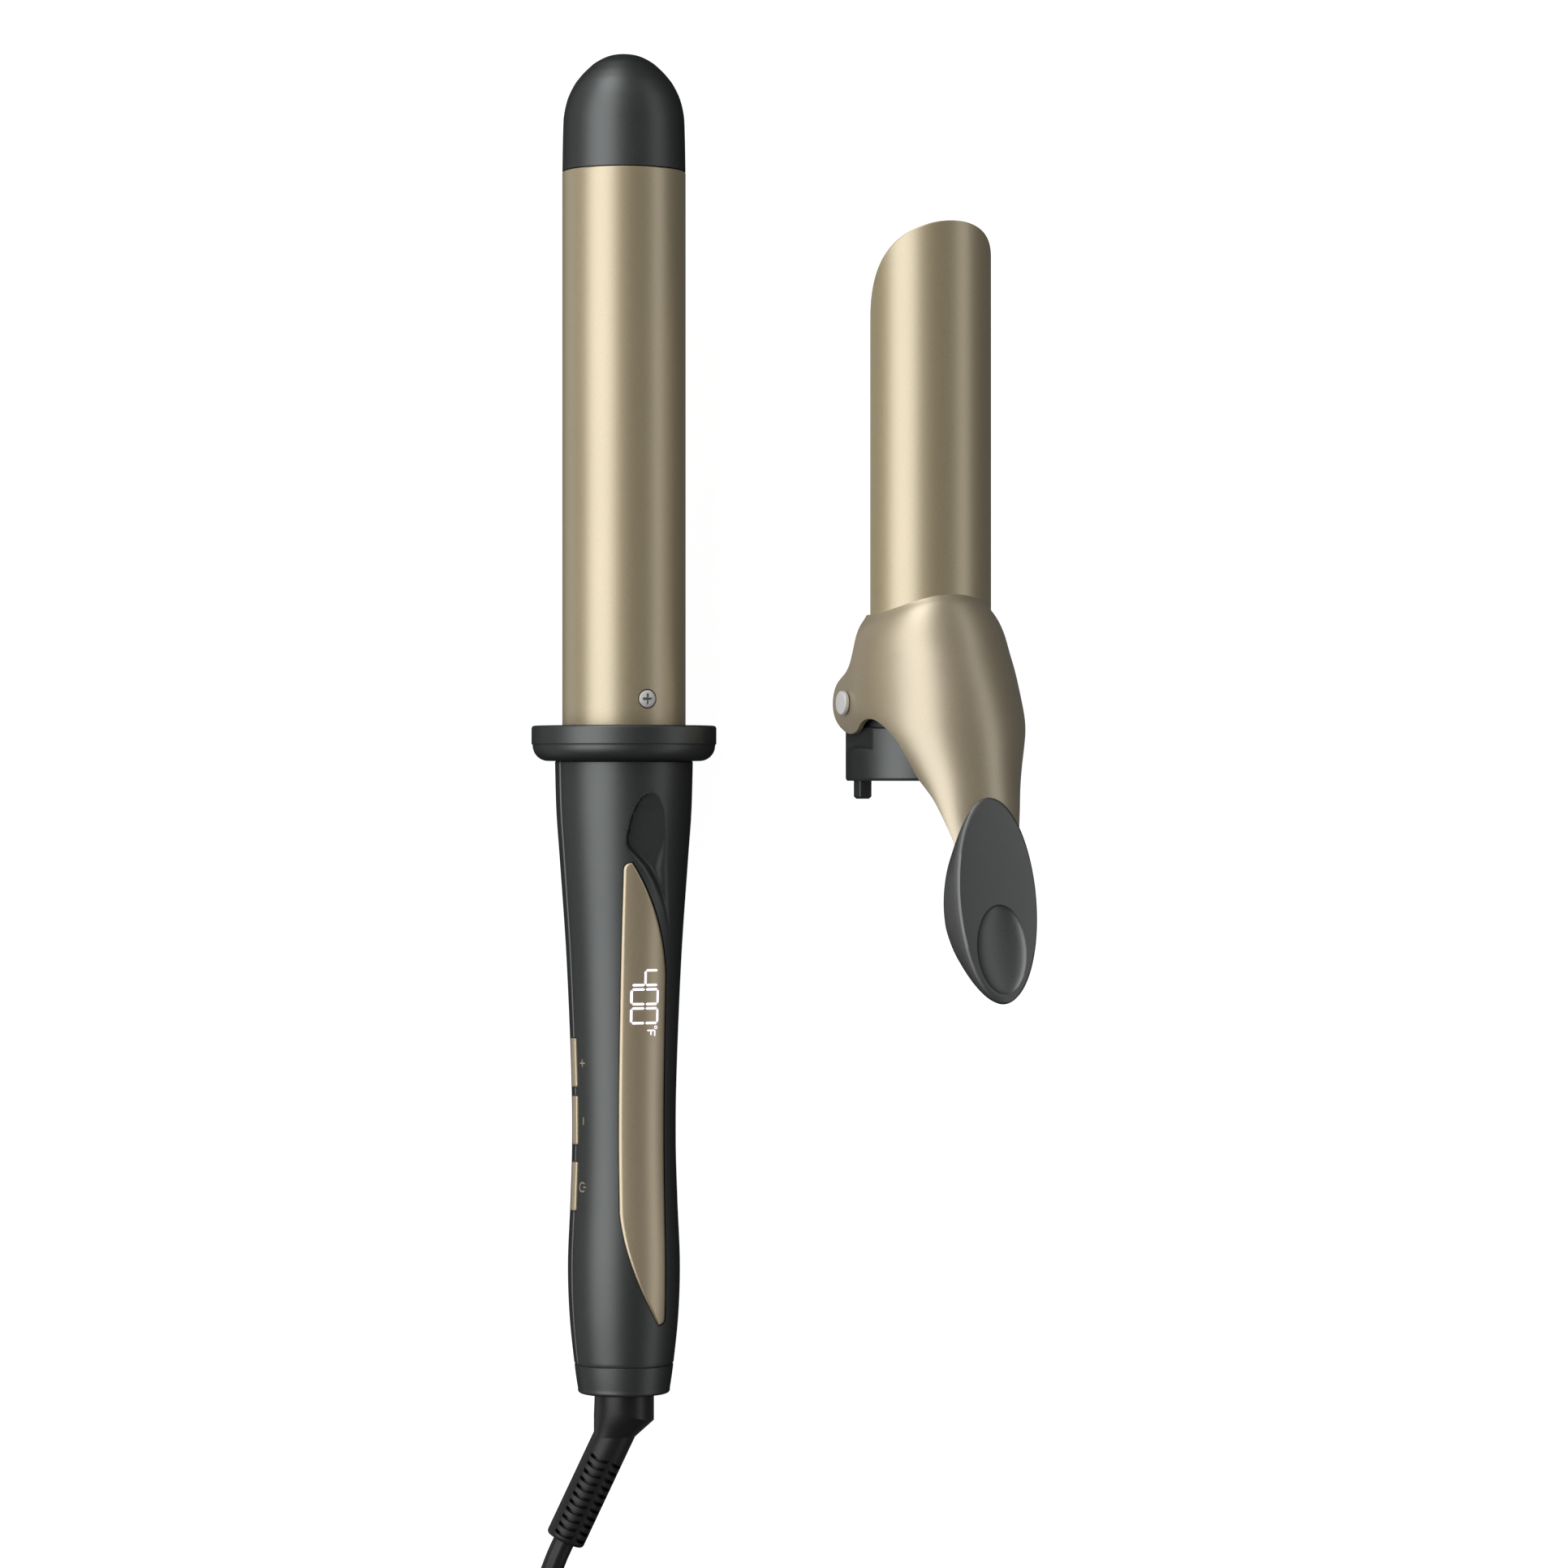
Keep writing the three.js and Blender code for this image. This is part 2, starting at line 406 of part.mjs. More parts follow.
for (const [name, side] of [['left', -1], ['right', 1]]) {
  const at = (x) => [side * x, PIVOT.y, PIVOT.z];
  add(clip, `pivot_pin_${name}`, rod(at(17.2), at(EAR.outer + GAP + 0.1), PIVOT.shank)
    .add(rod(at(EAR.outer + GAP), at(PIVOT.headTop), PIVOT.head)), LOOK.steel);
  const coilPoints = Array.from({ length: 9 }, (_, i) => {
    const angle = THREE.MathUtils.degToRad(-60 + 30 * i);
    return [side * SPRING.x, PIVOT.y + SPRING.radius * Math.cos(angle),
      PIVOT.z + SPRING.radius * Math.sin(angle)];
  });
  add(clip, `return_spring_${name}`, tube(coilPoints, SPRING.wire, 10, 6), LOOK.steel);
}

// ---------------------------------------------------------------- clip: spoon, hood, thumb pad
function spoonPoint(radius) {
  return (u, v) => {
    const angle = SPOON.halfAngle * (2 * v - 1);
    const end = SPOON.top - SPOON.tip * (1 - Math.sqrt(Math.max(0, 1 - (2 * v - 1) ** 2 * 0.999)));
    return [radius * Math.sin(angle), SPOON.foot + (end - SPOON.foot) * u, radius * Math.cos(angle)];
  };
}
add(clip, 'clamp_spoon', sheet(spoonPoint(SPOON.outer), spoonPoint(SPOON.inner), 5, 15), LOOK.gold);

function hoodPoint(offset) {
  const curves = [1, 2, 3].map((k) =>
    new THREE.SplineCurve(HOOD.map((row) => new THREE.Vector2(row[0], row[k]))));
  return (u, v) => {
    const [width, ridge, edge] = curves.map((curve) => curve.getPoint(u).y);
    const y = curves[0].getPoint(u).x;
    const angle = Math.PI * (v - 0.5);
    return [(width - offset) * Math.sin(angle), y, edge + (ridge - offset - edge) * Math.cos(angle)];
  };
}
const earShape = () => {
  const shape = new THREE.Shape();
  shape.absarc(PIVOT.z, PIVOT.y, EAR.radius, Math.PI / 2, 1.75 * Math.PI);
  shape.lineTo(9, 15);
  shape.lineTo(9, 30);
  shape.closePath();
  return shape;
};
// Shape X is the clip's Z here, so the plate stands square to the pivot.
const ear = (side) => solid(new THREE.ExtrudeGeometry(earShape(),
  { depth: EAR.outer - EAR.inner, bevelEnabled: false, curveSegments: 10 })
  .rotateY(-Math.PI / 2).translate(side > 0 ? EAR.outer : -EAR.inner, 0, 0));
// The room the collar needs inside the hood, with the hood turned about the pivot by the given degrees.
const collarRoom = (degrees) => turned([[0, -1], [COLLAR.skirt + GAP, -1],
  [COLLAR.skirt + GAP, COLLAR.skirtTop + GAP],
  [COLLAR.radius + 2 * GAP, COLLAR.skirtTop + 2], [COLLAR.radius + 2 * GAP, COLLAR.height + 0.8],
  [0, COLLAR.height + 0.8]])
  .translate([0, -PIVOT.y, -PIVOT.z]).rotate([-degrees, 0, 0]).translate([0, PIVOT.y, PIVOT.z]);
const hood = [0, 4, 8, SQUEEZE].reduce((body, degrees) => body.subtract(collarRoom(degrees)),
  sheet(hoodPoint(0), hoodPoint(HOOD_SHEET), 17, 13).add(ear(-1)).add(ear(1))
    .subtract(rod([-30, PIVOT.y, PIVOT.z], [30, PIVOT.y, PIVOT.z], PIVOT.bore))
    .subtract(turned([[0, 37.5], [SPOON.outer + GAP, 37.5], [SPOON.outer + GAP, 60], [0, 60]])));

// The pad's face is a tilted oval; its body is an upturned boat with the hood's tail let into it.
const padMatrix = new THREE.Matrix4().makeRotationX(-PAD.slope)
  .setPosition(0, PAD.topY, PAD.topZ);
function padSolid() {
  const levels = [0, 0.35, 0.7, 0.85, 0.94, 1];
  const rings = levels.length - 1;
  const sides = 20;
  const points = [];
  for (const level of levels) {
    const shrink = Math.sqrt(1 - (0.86 * level) ** 2);
    const chamfer = Math.max(0, level - 0.7) / 0.3;
    const wide = (1 + PAD.flare * Math.min(1, level / 0.7)) * Math.sqrt(1 - 0.85 * chamfer ** 2);
    for (let j = 0; j < sides; j++) {
      const angle = 2 * Math.PI * j / sides;
      const belly = 0.45 + 0.55 * Math.min(1, (1 - Math.sin(angle)) / 1.3);
      points.push(PAD.halfWidth * wide * Math.cos(angle),
        -PAD.length / 2 + (PAD.length / 2) * Math.min(1, shrink + 0.04) * Math.sin(angle),
        -PAD.depth * level * belly);
    }
  }
  const top = points.length / 3;
  points.push(0, -PAD.length / 2, 0, 0, -PAD.length / 2, -PAD.depth * 0.8);
  const index = [];
  for (let j = 0; j < sides; j++) {
    const k = (j + 1) % sides;
    for (let i = 0; i < rings; i++) {
      const [a, b, c, d] = [i * sides + j, i * sides + k, (i + 1) * sides + k, (i + 1) * sides + j];
      index.push(a, d, c, a, c, b);
    }
    index.push(top, j, k, top + 1, rings * sides + k, rings * sides + j);
  }
  const geometry = new THREE.BufferGeometry();
  geometry.setAttribute('position', new THREE.Float32BufferAttribute(points, 3));
  geometry.setIndex(index);
  return solid(geometry.applyMatrix4(padMatrix));
}
const dimple = solid(new THREE.SphereGeometry(1, 16, 8)
  .scale(DIMPLE.halfWidth, DIMPLE.halfLength, DIMPLE.depth)
  .translate(0, -DIMPLE.fromTop, 0.1).applyMatrix4(padMatrix));
const tailRoom = sheet(hoodPoint(-GAP), hoodPoint(HOOD_SHEET + GAP), 17, 13)
  .add(box([-8.5, 8.5], [-12, 0], [20, 36.2]));
add(clip, 'thumb_pad', padSolid().subtract(dimple).subtract(tailRoom), LOOK.graphite);
add(clip, 'clamp_hood', hood, LOOK.gold);

// ---------------------------------------------------------------- cord, coil, tie and plug
const coilRing = (grow) => turned([[COIL.inner - grow, COIL.bottom - grow],
  [COIL.outer + grow, COIL.bottom - grow], [COIL.outer + grow, COIL.top + grow],
  [COIL.inner - grow, COIL.top + grow]], 36)
  .rotate([90, 0, 0]).translate([COIL.x, COIL.y, 0]);
const largest = (body) => body.decompose().reduce((a, b) => (a.volume() > b.volume() ? a : b));
const straightOut = [GAP, 4].map((distance) => alongRelief(RELIEF.length + distance));
const leadRoute = [...straightOut.map(([x, y]) => [x + WAND_X, y + WAND_Y, AXIS_Z]), ...LEAD_ROUTE];
add(curlingIron, 'power_cord_lead',
  largest(tube(leadRoute, CORD.radius, 16).subtract(coilRing(GAP))), LOOK.black);
add(curlingIron, 'power_cord_coil', coilRing(0), LOOK.black);
add(curlingIron, 'power_cord_tail',
  largest(tube(TAIL_ROUTE, CORD.radius, 10).subtract(coilRing(GAP))), LOOK.black);
const tieX = [COIL.x + COIL.inner - 1, COIL.x + COIL.outer + GAP];
const tieSpan = [COIL.y - TIE.width / 2, COIL.y + TIE.width / 2];
add(curlingIron, 'cord_tie', box([tieX[0] - TIE.thickness, tieX[1] + TIE.thickness], tieSpan,
  [0, COIL.top + GAP + TIE.thickness])
  .subtract(box(tieX, [tieSpan[0] - 1, tieSpan[1] + 1], [TIE.thickness, COIL.top + GAP])), LOOK.black);

const plugAxis = PLUG.height / 2;
const bodyX = PLUG.x + PLUG.boot + GAP;
add(curlingIron, 'plug_strain_relief', turned([[0, 0], [3.4, 0], [5.4, PLUG.boot], [0, PLUG.boot]], 16)
  .rotate([0, 0, -90]).translate([PLUG.x, PLUG.y, plugAxis]), LOOK.black);
function plugSection() {
  const [w, h, r] = [PLUG.width / 2, PLUG.height / 2, 3];
  const shape = new THREE.Shape();
  shape.absarc(w - r, h - r, r, 0, Math.PI / 2);
  shape.absarc(r - w, h - r, r, Math.PI / 2, Math.PI);
  shape.absarc(r - w, r - h, r, Math.PI, 1.5 * Math.PI);
  shape.absarc(w - r, r - h, r, 1.5 * Math.PI, 2 * Math.PI);
  return shape;
}
add(curlingIron, 'plug_body', solid(new THREE.ExtrudeGeometry(plugSection(),
  { depth: PLUG.length, bevelEnabled: false, curveSegments: 4 }).rotateX(Math.PI / 2).rotateZ(Math.PI / 2)
  .translate(bodyX, PLUG.y, plugAxis)), LOOK.black);
for (const [name, side] of [['left', 1], ['right', -1]]) {
  const y = PLUG.y + side * BLADE.spacing / 2;
  const x = bodyX + PLUG.length + GAP;
  add(curlingIron, `plug_blade_${name}`, box([x, x + BLADE.length],
    [y - BLADE.thickness / 2, y + BLADE.thickness / 2],
    [plugAxis - BLADE.width / 2, plugAxis + BLADE.width / 2]),
  LOOK.steel);
}

export default curlingIron;
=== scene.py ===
import json
import math

import bmesh
import bpy
import numpy as np
from mathutils import Matrix, Vector


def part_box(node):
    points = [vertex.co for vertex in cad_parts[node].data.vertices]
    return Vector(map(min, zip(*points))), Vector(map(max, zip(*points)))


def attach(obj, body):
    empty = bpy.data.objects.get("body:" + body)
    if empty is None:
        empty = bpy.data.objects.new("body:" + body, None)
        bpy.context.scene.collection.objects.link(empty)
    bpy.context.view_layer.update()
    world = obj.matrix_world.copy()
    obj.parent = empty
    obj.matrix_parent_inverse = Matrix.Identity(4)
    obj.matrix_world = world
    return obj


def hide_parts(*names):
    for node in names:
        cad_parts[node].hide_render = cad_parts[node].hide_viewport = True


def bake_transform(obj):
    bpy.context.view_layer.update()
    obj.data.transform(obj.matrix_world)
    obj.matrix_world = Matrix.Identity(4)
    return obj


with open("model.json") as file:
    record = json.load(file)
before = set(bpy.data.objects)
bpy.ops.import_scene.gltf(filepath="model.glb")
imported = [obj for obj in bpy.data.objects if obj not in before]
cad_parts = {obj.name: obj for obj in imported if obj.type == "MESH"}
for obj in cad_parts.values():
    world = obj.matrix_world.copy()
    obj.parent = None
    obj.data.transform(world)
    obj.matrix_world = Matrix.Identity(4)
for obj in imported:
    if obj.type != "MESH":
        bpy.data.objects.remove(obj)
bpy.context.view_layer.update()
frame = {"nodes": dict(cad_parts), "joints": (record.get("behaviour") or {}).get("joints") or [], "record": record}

MM = 0.001
GAP = 0.3
JOINTS = {joint["name"]: joint for joint in frame["joints"]}


# ---------------------------------------------------------------- places, from the frame
class Place:
    """A local frame: an origin in metres and a turn about +Y."""

    def __init__(self, origin, turn):
        self.matrix = Matrix.Translation(origin) @ Matrix.Rotation(turn, 4, "Y")

    def world(self, points):
        rotation = np.array(self.matrix.to_3x3())
        return np.asarray(points, float) * MM @ rotation.T + np.array(self.matrix.translation)

    def point(self, x, y, z):
        return Vector(self.world([[x, y, z]])[0])


def middle(node):
    low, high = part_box(node)
    return (Vector(low) + Vector(high)) / 2


hinge_axis = JOINTS["clip_squeeze"]["axis"]
TURN = math.atan2(-hinge_axis[2], hinge_axis[0])
tube_middle = middle("barrel_tube")
disc_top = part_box("heat_guard_disc")[1][1]
wand_origin = Vector((tube_middle.x, disc_top, tube_middle.z))
PIVOT_Y, PIVOT_Z = 20.0, -2.5
pivot = Vector(JOINTS["clip_squeeze"]["pos_m"])
clip_origin = pivot - Place((0, 0, 0), TURN).point(0, PIVOT_Y, PIVOT_Z)
WAND = Place(wand_origin, TURN)
CLIP = Place(clip_origin, TURN)
SWIVEL = Place(wand_origin, 0.0)
ROOM = Place((0, 0, 0), 0.0)

# ---------------------------------------------------------------- driving dimensions
BARREL = {"radius": 15.88, "wall": 1.5, "length": 142.4, "sunk": 8.6}
# The cap's outline, [radius, distance above the barrel's end].
CAP = [[15.85, 0.3], [15.8, 4], [15.74, 7.5], [15.65, 11], [15.55, 13.6], [15.34, 15.2], [15.1, 16.5], [14.8, 17.7],
       [14.4, 19], [13.9, 20.2], [13.25, 21.5], [12.5, 22.8], [11.6, 24], [10.5, 25.3], [9.3, 26.5], [7.9, 27.75],
       [6.6, 28.6], [5.2, 29.35], [3.9, 29.85], [2.6, 30.15], [1.3, 30.28], [0, 30.3]]
SCREW = {"y": 6.7, "head": 2.2, "dome": 0.75}
DISC = {"radius": 23.8, "height": 9.1, "bore": 16.15, "crease": 4.7}
# Handle outline, [distance below the disc's upper face, radius].
HANDLE = [[9.4, 17.75], [22, 17.4], [34.7, 16.5], [59.7, 14.8], [89, 13.58], [107, 13.36],
          [122.4, 13.8], [138, 14.42], [151.7, 14.0], [165.2, 12.6], [172, 11.55]]
HANDLE_TOP, SHELL_END, HANDLE_END = -9.14, -164.0, -171.6
SHELL_WALL = 2.2
HANDLE_SCREWS = {"upper": -38.0, "lower": -157.5}
PANEL = {"top": -34.9, "bottom": -153.4, "half_width": 6.3, "sweep": 29.0, "tip": 2.2, "thickness": 1.2}
BUTTON = {"length": 12.6, "width": 3.2, "proud": 0.45}
BUTTONS = {"high": -86.4, "low": -101.2, "power": -118.1}
NECK = {"radius": 7.75, "top": -161.0, "flange": 10.0, "bend": -177.1, "low": -183.5}
RELIEF = {"radius": 5.1, "length": 36.0, "angle": math.radians(25.2)}
COLLAR = {"bore": 16.5, "skirt": 20.9, "skirt_top": 8.0, "radius": 18.7, "height": 29.7,
          "low_skirt": 13.6, "flat": 19.3}
SPOON = {"inner": 15.95, "outer": 16.6, "top": 143.0, "half_angle": math.radians(87), "foot": 38.0, "tip": 24.0}
PAD = {"length": 52.0, "half_width": 11.0, "top_y": -4.2, "top_z": 37.6, "slope": math.radians(9.5), "depth": 9.5,
       "flare": 0.13}
DIMPLE = {"half_length": 11.4, "half_width": 7.0, "depth": 2.6, "from_top": 38.6}
CORD_RADIUS = 2.8


# ---------------------------------------------------------------- mesh helpers
def new_object(name, points, faces, place):
    mesh = bpy.data.meshes.new(name)
    mesh.from_pydata(place.world(points).tolist(), [], faces)
    mesh.update()
    made = bpy.data.objects.new(name, mesh)
    bpy.context.scene.collection.objects.link(made)
    return made


def tidy(made, merge=2e-6):
    """Merges doubled points and turns every face outwards."""
    work = bmesh.new()
    work.from_mesh(made.data)
    bmesh.ops.remove_doubles(work, verts=work.verts, dist=merge)
    bmesh.ops.dissolve_degenerate(work, edges=work.edges, dist=1e-7)
    bmesh.ops.recalc_face_normals(work, faces=work.faces)
    work.to_mesh(made.data)
    work.free()
    return made


def smooth(made, angle=32):
    made.data.shade_smooth()
    made.data.set_sharp_from_angle(angle=math.radians(angle))
    return made


def finish_piece(made, body, material, replaces=(), angle=32):
    smooth(made, angle)
    made.data.materials.clear()
    made.data.materials.append(material)
    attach(made, body)
    if replaces:
        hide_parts(*replaces)
    return made


def boolean(target, cutter, operation="DIFFERENCE", keep=False):
    """Cuts, joins or intersects target with cutter, and removes the cutter."""
    modifier = target.modifiers.new("cut", "BOOLEAN")
    modifier.operation = operation
    modifier.solver = "MANIFOLD"
    modifier.object = cutter
    graph = bpy.context.evaluated_depsgraph_get()
    result = bpy.data.meshes.new_from_object(target.evaluated_get(graph))
    old = target.data
    target.modifiers.clear()
    target.data = result
    bpy.data.meshes.remove(old)
    if not keep:
        bpy.data.objects.remove(cutter)
    return target


def quads(rows, columns, wrap_rows=False, wrap_columns=False):
    """Faces of a grid of points stored row by row."""
    i = np.arange(rows if wrap_rows else rows - 1)
    j = np.arange(columns if wrap_columns else columns - 1)
    i, j = np.meshgrid(i, j, indexing="ij")
    i2, j2 = (i + 1) % rows, (j + 1) % columns
    return np.stack([i * columns + j, i * columns + j2, i2 * columns + j2, i2 * columns + j], -1).reshape(-1, 4).tolist()


def spline(points, steps):
    """A uniform Catmull-Rom curve through the points, with the given steps between each two."""
    p = np.asarray(points, float)
    p = np.vstack([p[0], p, p[-1]])
    t = np.linspace(0, 1, steps, endpoint=False)[:, None]
    out = []
    for a, b, c, d in zip(p[:-3], p[1:-2], p[2:-1], p[3:]):
        out.append(0.5 * (2 * b + (c - a) * t + (2 * a - 5 * b + 4 * c - d) * t ** 2 + (3 * b - a - 3 * c + d) * t ** 3))
    return np.vstack([*out, p[-1]])


def fillet(corners, closed=True, steps=6):
    """A 2D outline with its corners rounded; corners are (x, y, radius)."""
    out = []
    count = len(corners)
    for k, (x, y, radius) in enumerate(corners):
        here = np.array([x, y], float)
        if radius <= 0 or (not closed and k in (0, count - 1)):
            out.append(here)
            continue
        before = np.array(corners[k - 1][:2], float) - here
        after = np.array(corners[(k + 1) % count][:2], float) - here
        room = min(np.linalg.norm(before), np.linalg.norm(after)) * 0.49
        before /= np.linalg.norm(before)
        after /= np.linalg.norm(after)
        half = math.acos(np.clip(before @ after, -1, 1)) / 2
        reach = min(radius / math.tan(half), room)
        bow = reach * math.tan(half)
        centre = here + (before + after) / np.linalg.norm(before + after) * bow / math.sin(half)
        a, b = here + before * reach - centre, here + after * reach - centre
        turn = math.atan2(a[0] * b[1] - a[1] * b[0], a @ b)
        for s in range(steps + 1):
            angle = turn * s / steps
            c, sn = math.cos(angle), math.sin(angle)
            out.append(centre + np.array([a[0] * c - a[1] * sn, a[0] * sn + a[1] * c]))
    return np.array(out)


def refine(outline, step, closed=True):
    """Adds points so that no side of the outline is longer than step."""
    out = []
    ends = len(outline) if closed else len(outline) - 1
    for k in range(ends):
        a, b = outline[k], outline[(k + 1) % len(outline)]
        pieces = max(1, math.ceil(np.linalg.norm(b - a) / step))
        out += [a + (b - a) * s / pieces for s in range(pieces)]
    if not closed:
        out.append(outline[-1])
    return np.array(out)


def lathe(name, profile, place, sides=160, closed=True):
    """A profile of (radius, y) turned about local Y."""
    profile = np.maximum(np.asarray(profile, float), [[0, -1e9]])
    angle = np.linspace(0, 2 * math.pi, sides, endpoint=False)
    points = np.stack([profile[:, None, 0] * np.sin(angle), np.broadcast_to(profile[:, None, 1], (len(profile), sides)),
                       profile[:, None, 0] * np.cos(angle)], -1).reshape(-1, 3)
    return tidy(new_object(name, points, quads(len(profile), sides, closed, True), place))


def stack(name, rings, place, cap=(True, True)):
    """A solid through closed rings of equal counts of points."""
    rings = np.asarray(rings, float)
    count, sides = rings.shape[:2]
    faces = quads(count, sides, False, True)
    if cap[0]:
        faces.append(list(range(sides)))
    if cap[1]:
        faces.append(list(range((count - 1) * sides, count * sides)))
    return tidy(new_object(name, rings.reshape(-1, 3), faces, place))


def box_object(name, x, y, z, place):
    points = [[a, b, c] for a in x for b in y for c in z]
    faces = [[0, 1, 3, 2], [4, 6, 7, 5], [0, 4, 5, 1], [2, 3, 7, 6], [0, 2, 6, 4], [1, 5, 7, 3]]
    return tidy(new_object(name, points, faces, place))


def prism(name, outline, axes, low, high, place):
    """An outline in two local axes, pushed along the third from low to high."""
    third = ({0, 1, 2} - set(axes)).pop()
    rings = []
    for level in (low, high):
        ring = np.zeros((len(outline), 3))
        ring[:, axes[0]] = outline[:, 0]
        ring[:, axes[1]] = outline[:, 1]
        ring[:, third] = level
        rings.append(ring)
    return stack(name, rings, place)


def rod(name, start, end, radius, place, sides=48):
    """A plain round cutter or shank between two local points."""
    start, end = Vector(start), Vector(end)
    turn = (end - start).to_track_quat("Z", "Y").to_matrix()
    angle = np.linspace(0, 2 * math.pi, sides, endpoint=False)
    ring = np.stack([np.cos(angle), np.sin(angle), np.zeros(sides)], -1) * radius @ np.array(turn).T
    return stack(name, [ring + np.array(start), ring + np.array(end)], place)


def rounded_rectangle(half_x, half_y, radius, steps=8):
    corners = [(half_x, half_y), (-half_x, half_y), (-half_x, -half_y), (half_x, -half_y)]
    return fillet([(x, y, radius) for x, y in corners], steps=steps)


def join(target, *others):
    """Puts other meshes into target as loose parts."""
    work = bmesh.new()
    work.from_mesh(target.data)
    for other in others:
        work.from_mesh(other.data)
        bpy.data.objects.remove(other)
    work.to_mesh(target.data)
    work.free()
    return target


# ---------------------------------------------------------------- materials
class Shader:
    """A small builder for a material's node tree around one Principled shader."""

    def __init__(self, name, **sockets):
        self.material = bpy.data.materials.new(name)
        self.material.use_nodes = True
        self.tree = self.material.node_tree
        self.principled = self.tree.nodes["Principled BSDF"]
        for socket, value in sockets.items():
            self.principled.inputs[socket.replace("_", " ")].default_value = value

    def node(self, kind, inputs=None, **settings):
        made = self.tree.nodes.new("ShaderNode" + kind)
        for key, value in settings.items():
            setattr(made, key, value)
        for key, value in (inputs or {}).items():
            if isinstance(value, bpy.types.NodeSocket):
                self.tree.links.new(value, made.inputs[key])
            else:
                made.inputs[key].default_value = value
        return made

    def link(self, output, socket):
        self.tree.links.new(output, self.principled.inputs[socket])

    def place(self):
        return self.node("TexCoord").outputs["Object"]

    def noise(self, size, detail=2.0, stretch=(1, 1, 1), roughness=0.5):
        """Noise whose features are about size metres across."""
        mapping = self.node("Mapping", {"Vector": self.place(), "Scale": stretch})
        return self.node("TexNoise", {"Vector": mapping.outputs["Vector"], "Scale": 1 / size, "Detail": detail,
                                      "Roughness": roughness}).outputs["Fac"]

    def ramp(self, factor, stops):
        made = self.node("ValToRGB", {"Fac": factor})
        elements = made.color_ramp.elements
        while len(elements) < len(stops):
            elements.new(0.5)
        for element, (position, colour) in zip(elements, stops):
            element.position = position
            element.color = (*colour, 1) if len(colour) == 3 else colour
        return made.outputs["Color"]

    def spread(self, factor, low, high):
        return self.node("MapRange", {"Value": factor, "From Min": 0.3, "From Max": 0.7, "To Min": low,
                                      "To Max": high}).outputs["Result"]

    def bump(self, height, strength, distance, normal=None):
        inputs = {"Height": height, "Strength": strength, "Distance": distance}
        if normal is not None:
            inputs["Normal"] = normal
        return self.node("Bump", inputs).outputs["Normal"]


def tint(colour, factor):
    return tuple(min(1.0, channel * factor) for channel in colour)


def metallic_paint(name, colour, metallic, roughness, coat, grain=0.00032, contrast=0.10, bump=0.05, gloss=1.9, edge=1.0):
    """A sprayed metallic finish: fine flake, a slow drift of colour, and a faint orange peel."""
    shader = Shader(name, Metallic=metallic, Coat_Weight=coat, Coat_Roughness=0.38, Coat_IOR=gloss, IOR=1.5,
                    Specular_Tint=(edge, edge, edge, 1))
    flake = shader.noise(grain, 3.0, roughness=0.7)
    drift = shader.noise(0.045, 2.0)
    speckled = shader.ramp(flake, [(0.28, tint(colour, 1 - contrast)), (0.5, colour), (0.72, tint(colour, 1 + contrast))])
    shaded = shader.node("MixRGB", {"Fac": 0.35, "Color1": speckled, "Color2": shader.ramp(
        drift, [(0.3, tint(colour, 0.94)), (0.7, tint(colour, 1.05))])})
    shader.link(shaded.outputs["Color"], "Base Color")
    shader.link(shader.spread(flake, roughness - 0.05, roughness + 0.06), "Roughness")
    peel = shader.bump(shader.noise(0.0011, 2.0), bump * 0.5, 0.00004)
    shader.link(shader.bump(flake, bump, 0.00005, peel), "Normal")
    return shader.material


def moulded_plastic(name, colour, roughness, grain=0.00035, contrast=0.22, bump=0.12, specular=0.5):
    """Satin moulded plastic with a fine spark-eroded grain."""
    shader = Shader(name, IOR=1.5, Specular_IOR_Level=specular)
    texture = shader.noise(grain, 3.0, roughness=0.65)
    drift = shader.noise(0.03, 2.0)
    grained = shader.ramp(texture, [(0.3, tint(colour, 1 - contrast)), (0.5, colour), (0.7, tint(colour, 1 + contrast))])
    shaded = shader.node("MixRGB", {"Fac": 0.3, "Color1": grained, "Color2": shader.ramp(
        drift, [(0.3, tint(colour, 0.9)), (0.7, tint(colour, 1.08))])})
    shader.link(shaded.outputs["Color"], "Base Color")
    shader.link(shader.spread(texture, roughness - 0.06, roughness + 0.07), "Roughness")
    shader.link(shader.bump(texture, bump, 0.00006), "Normal")
    return shader.material


def graphite_paint(name, colour, metallic, roughness, grain=0.00035, contrast=0.12, bump=0.08):
    """Dark satin lacquer with a metallic flake, as on the mouldings."""
    return metallic_paint(name, colour, metallic, roughness, 0.0, grain, contrast, bump, edge=0.3)


def brushed_metal(name, colour, roughness, stretch=(1, 1, 8)):
    shader = Shader(name, Metallic=1.0, Anisotropic=0.3)
    scratches = shader.noise(0.0004, 3.0, stretch)
    shader.link(shader.ramp(scratches, [(0.3, tint(colour, 0.9)), (0.7, tint(colour, 1.06))]), "Base Color")
    shader.link(shader.spread(scratches, roughness - 0.06, roughness + 0.08), "Roughness")
    shader.link(shader.bump(scratches, 0.06, 0.00003), "Normal")
    return shader.material


def glowing(name, colour, strength):
    """A lit display segment, its glow varying a little at random."""
    shader = Shader(name, Roughness=0.4, Emission_Strength=strength)
    cloud = shader.noise(0.0009, 1.0)
    lit = shader.ramp(cloud, [(0.3, tint(colour, 0.96)), (0.7, colour)])
    shader.link(lit, "Base Color")
    shader.link(lit, "Emission Color")
    return shader.material


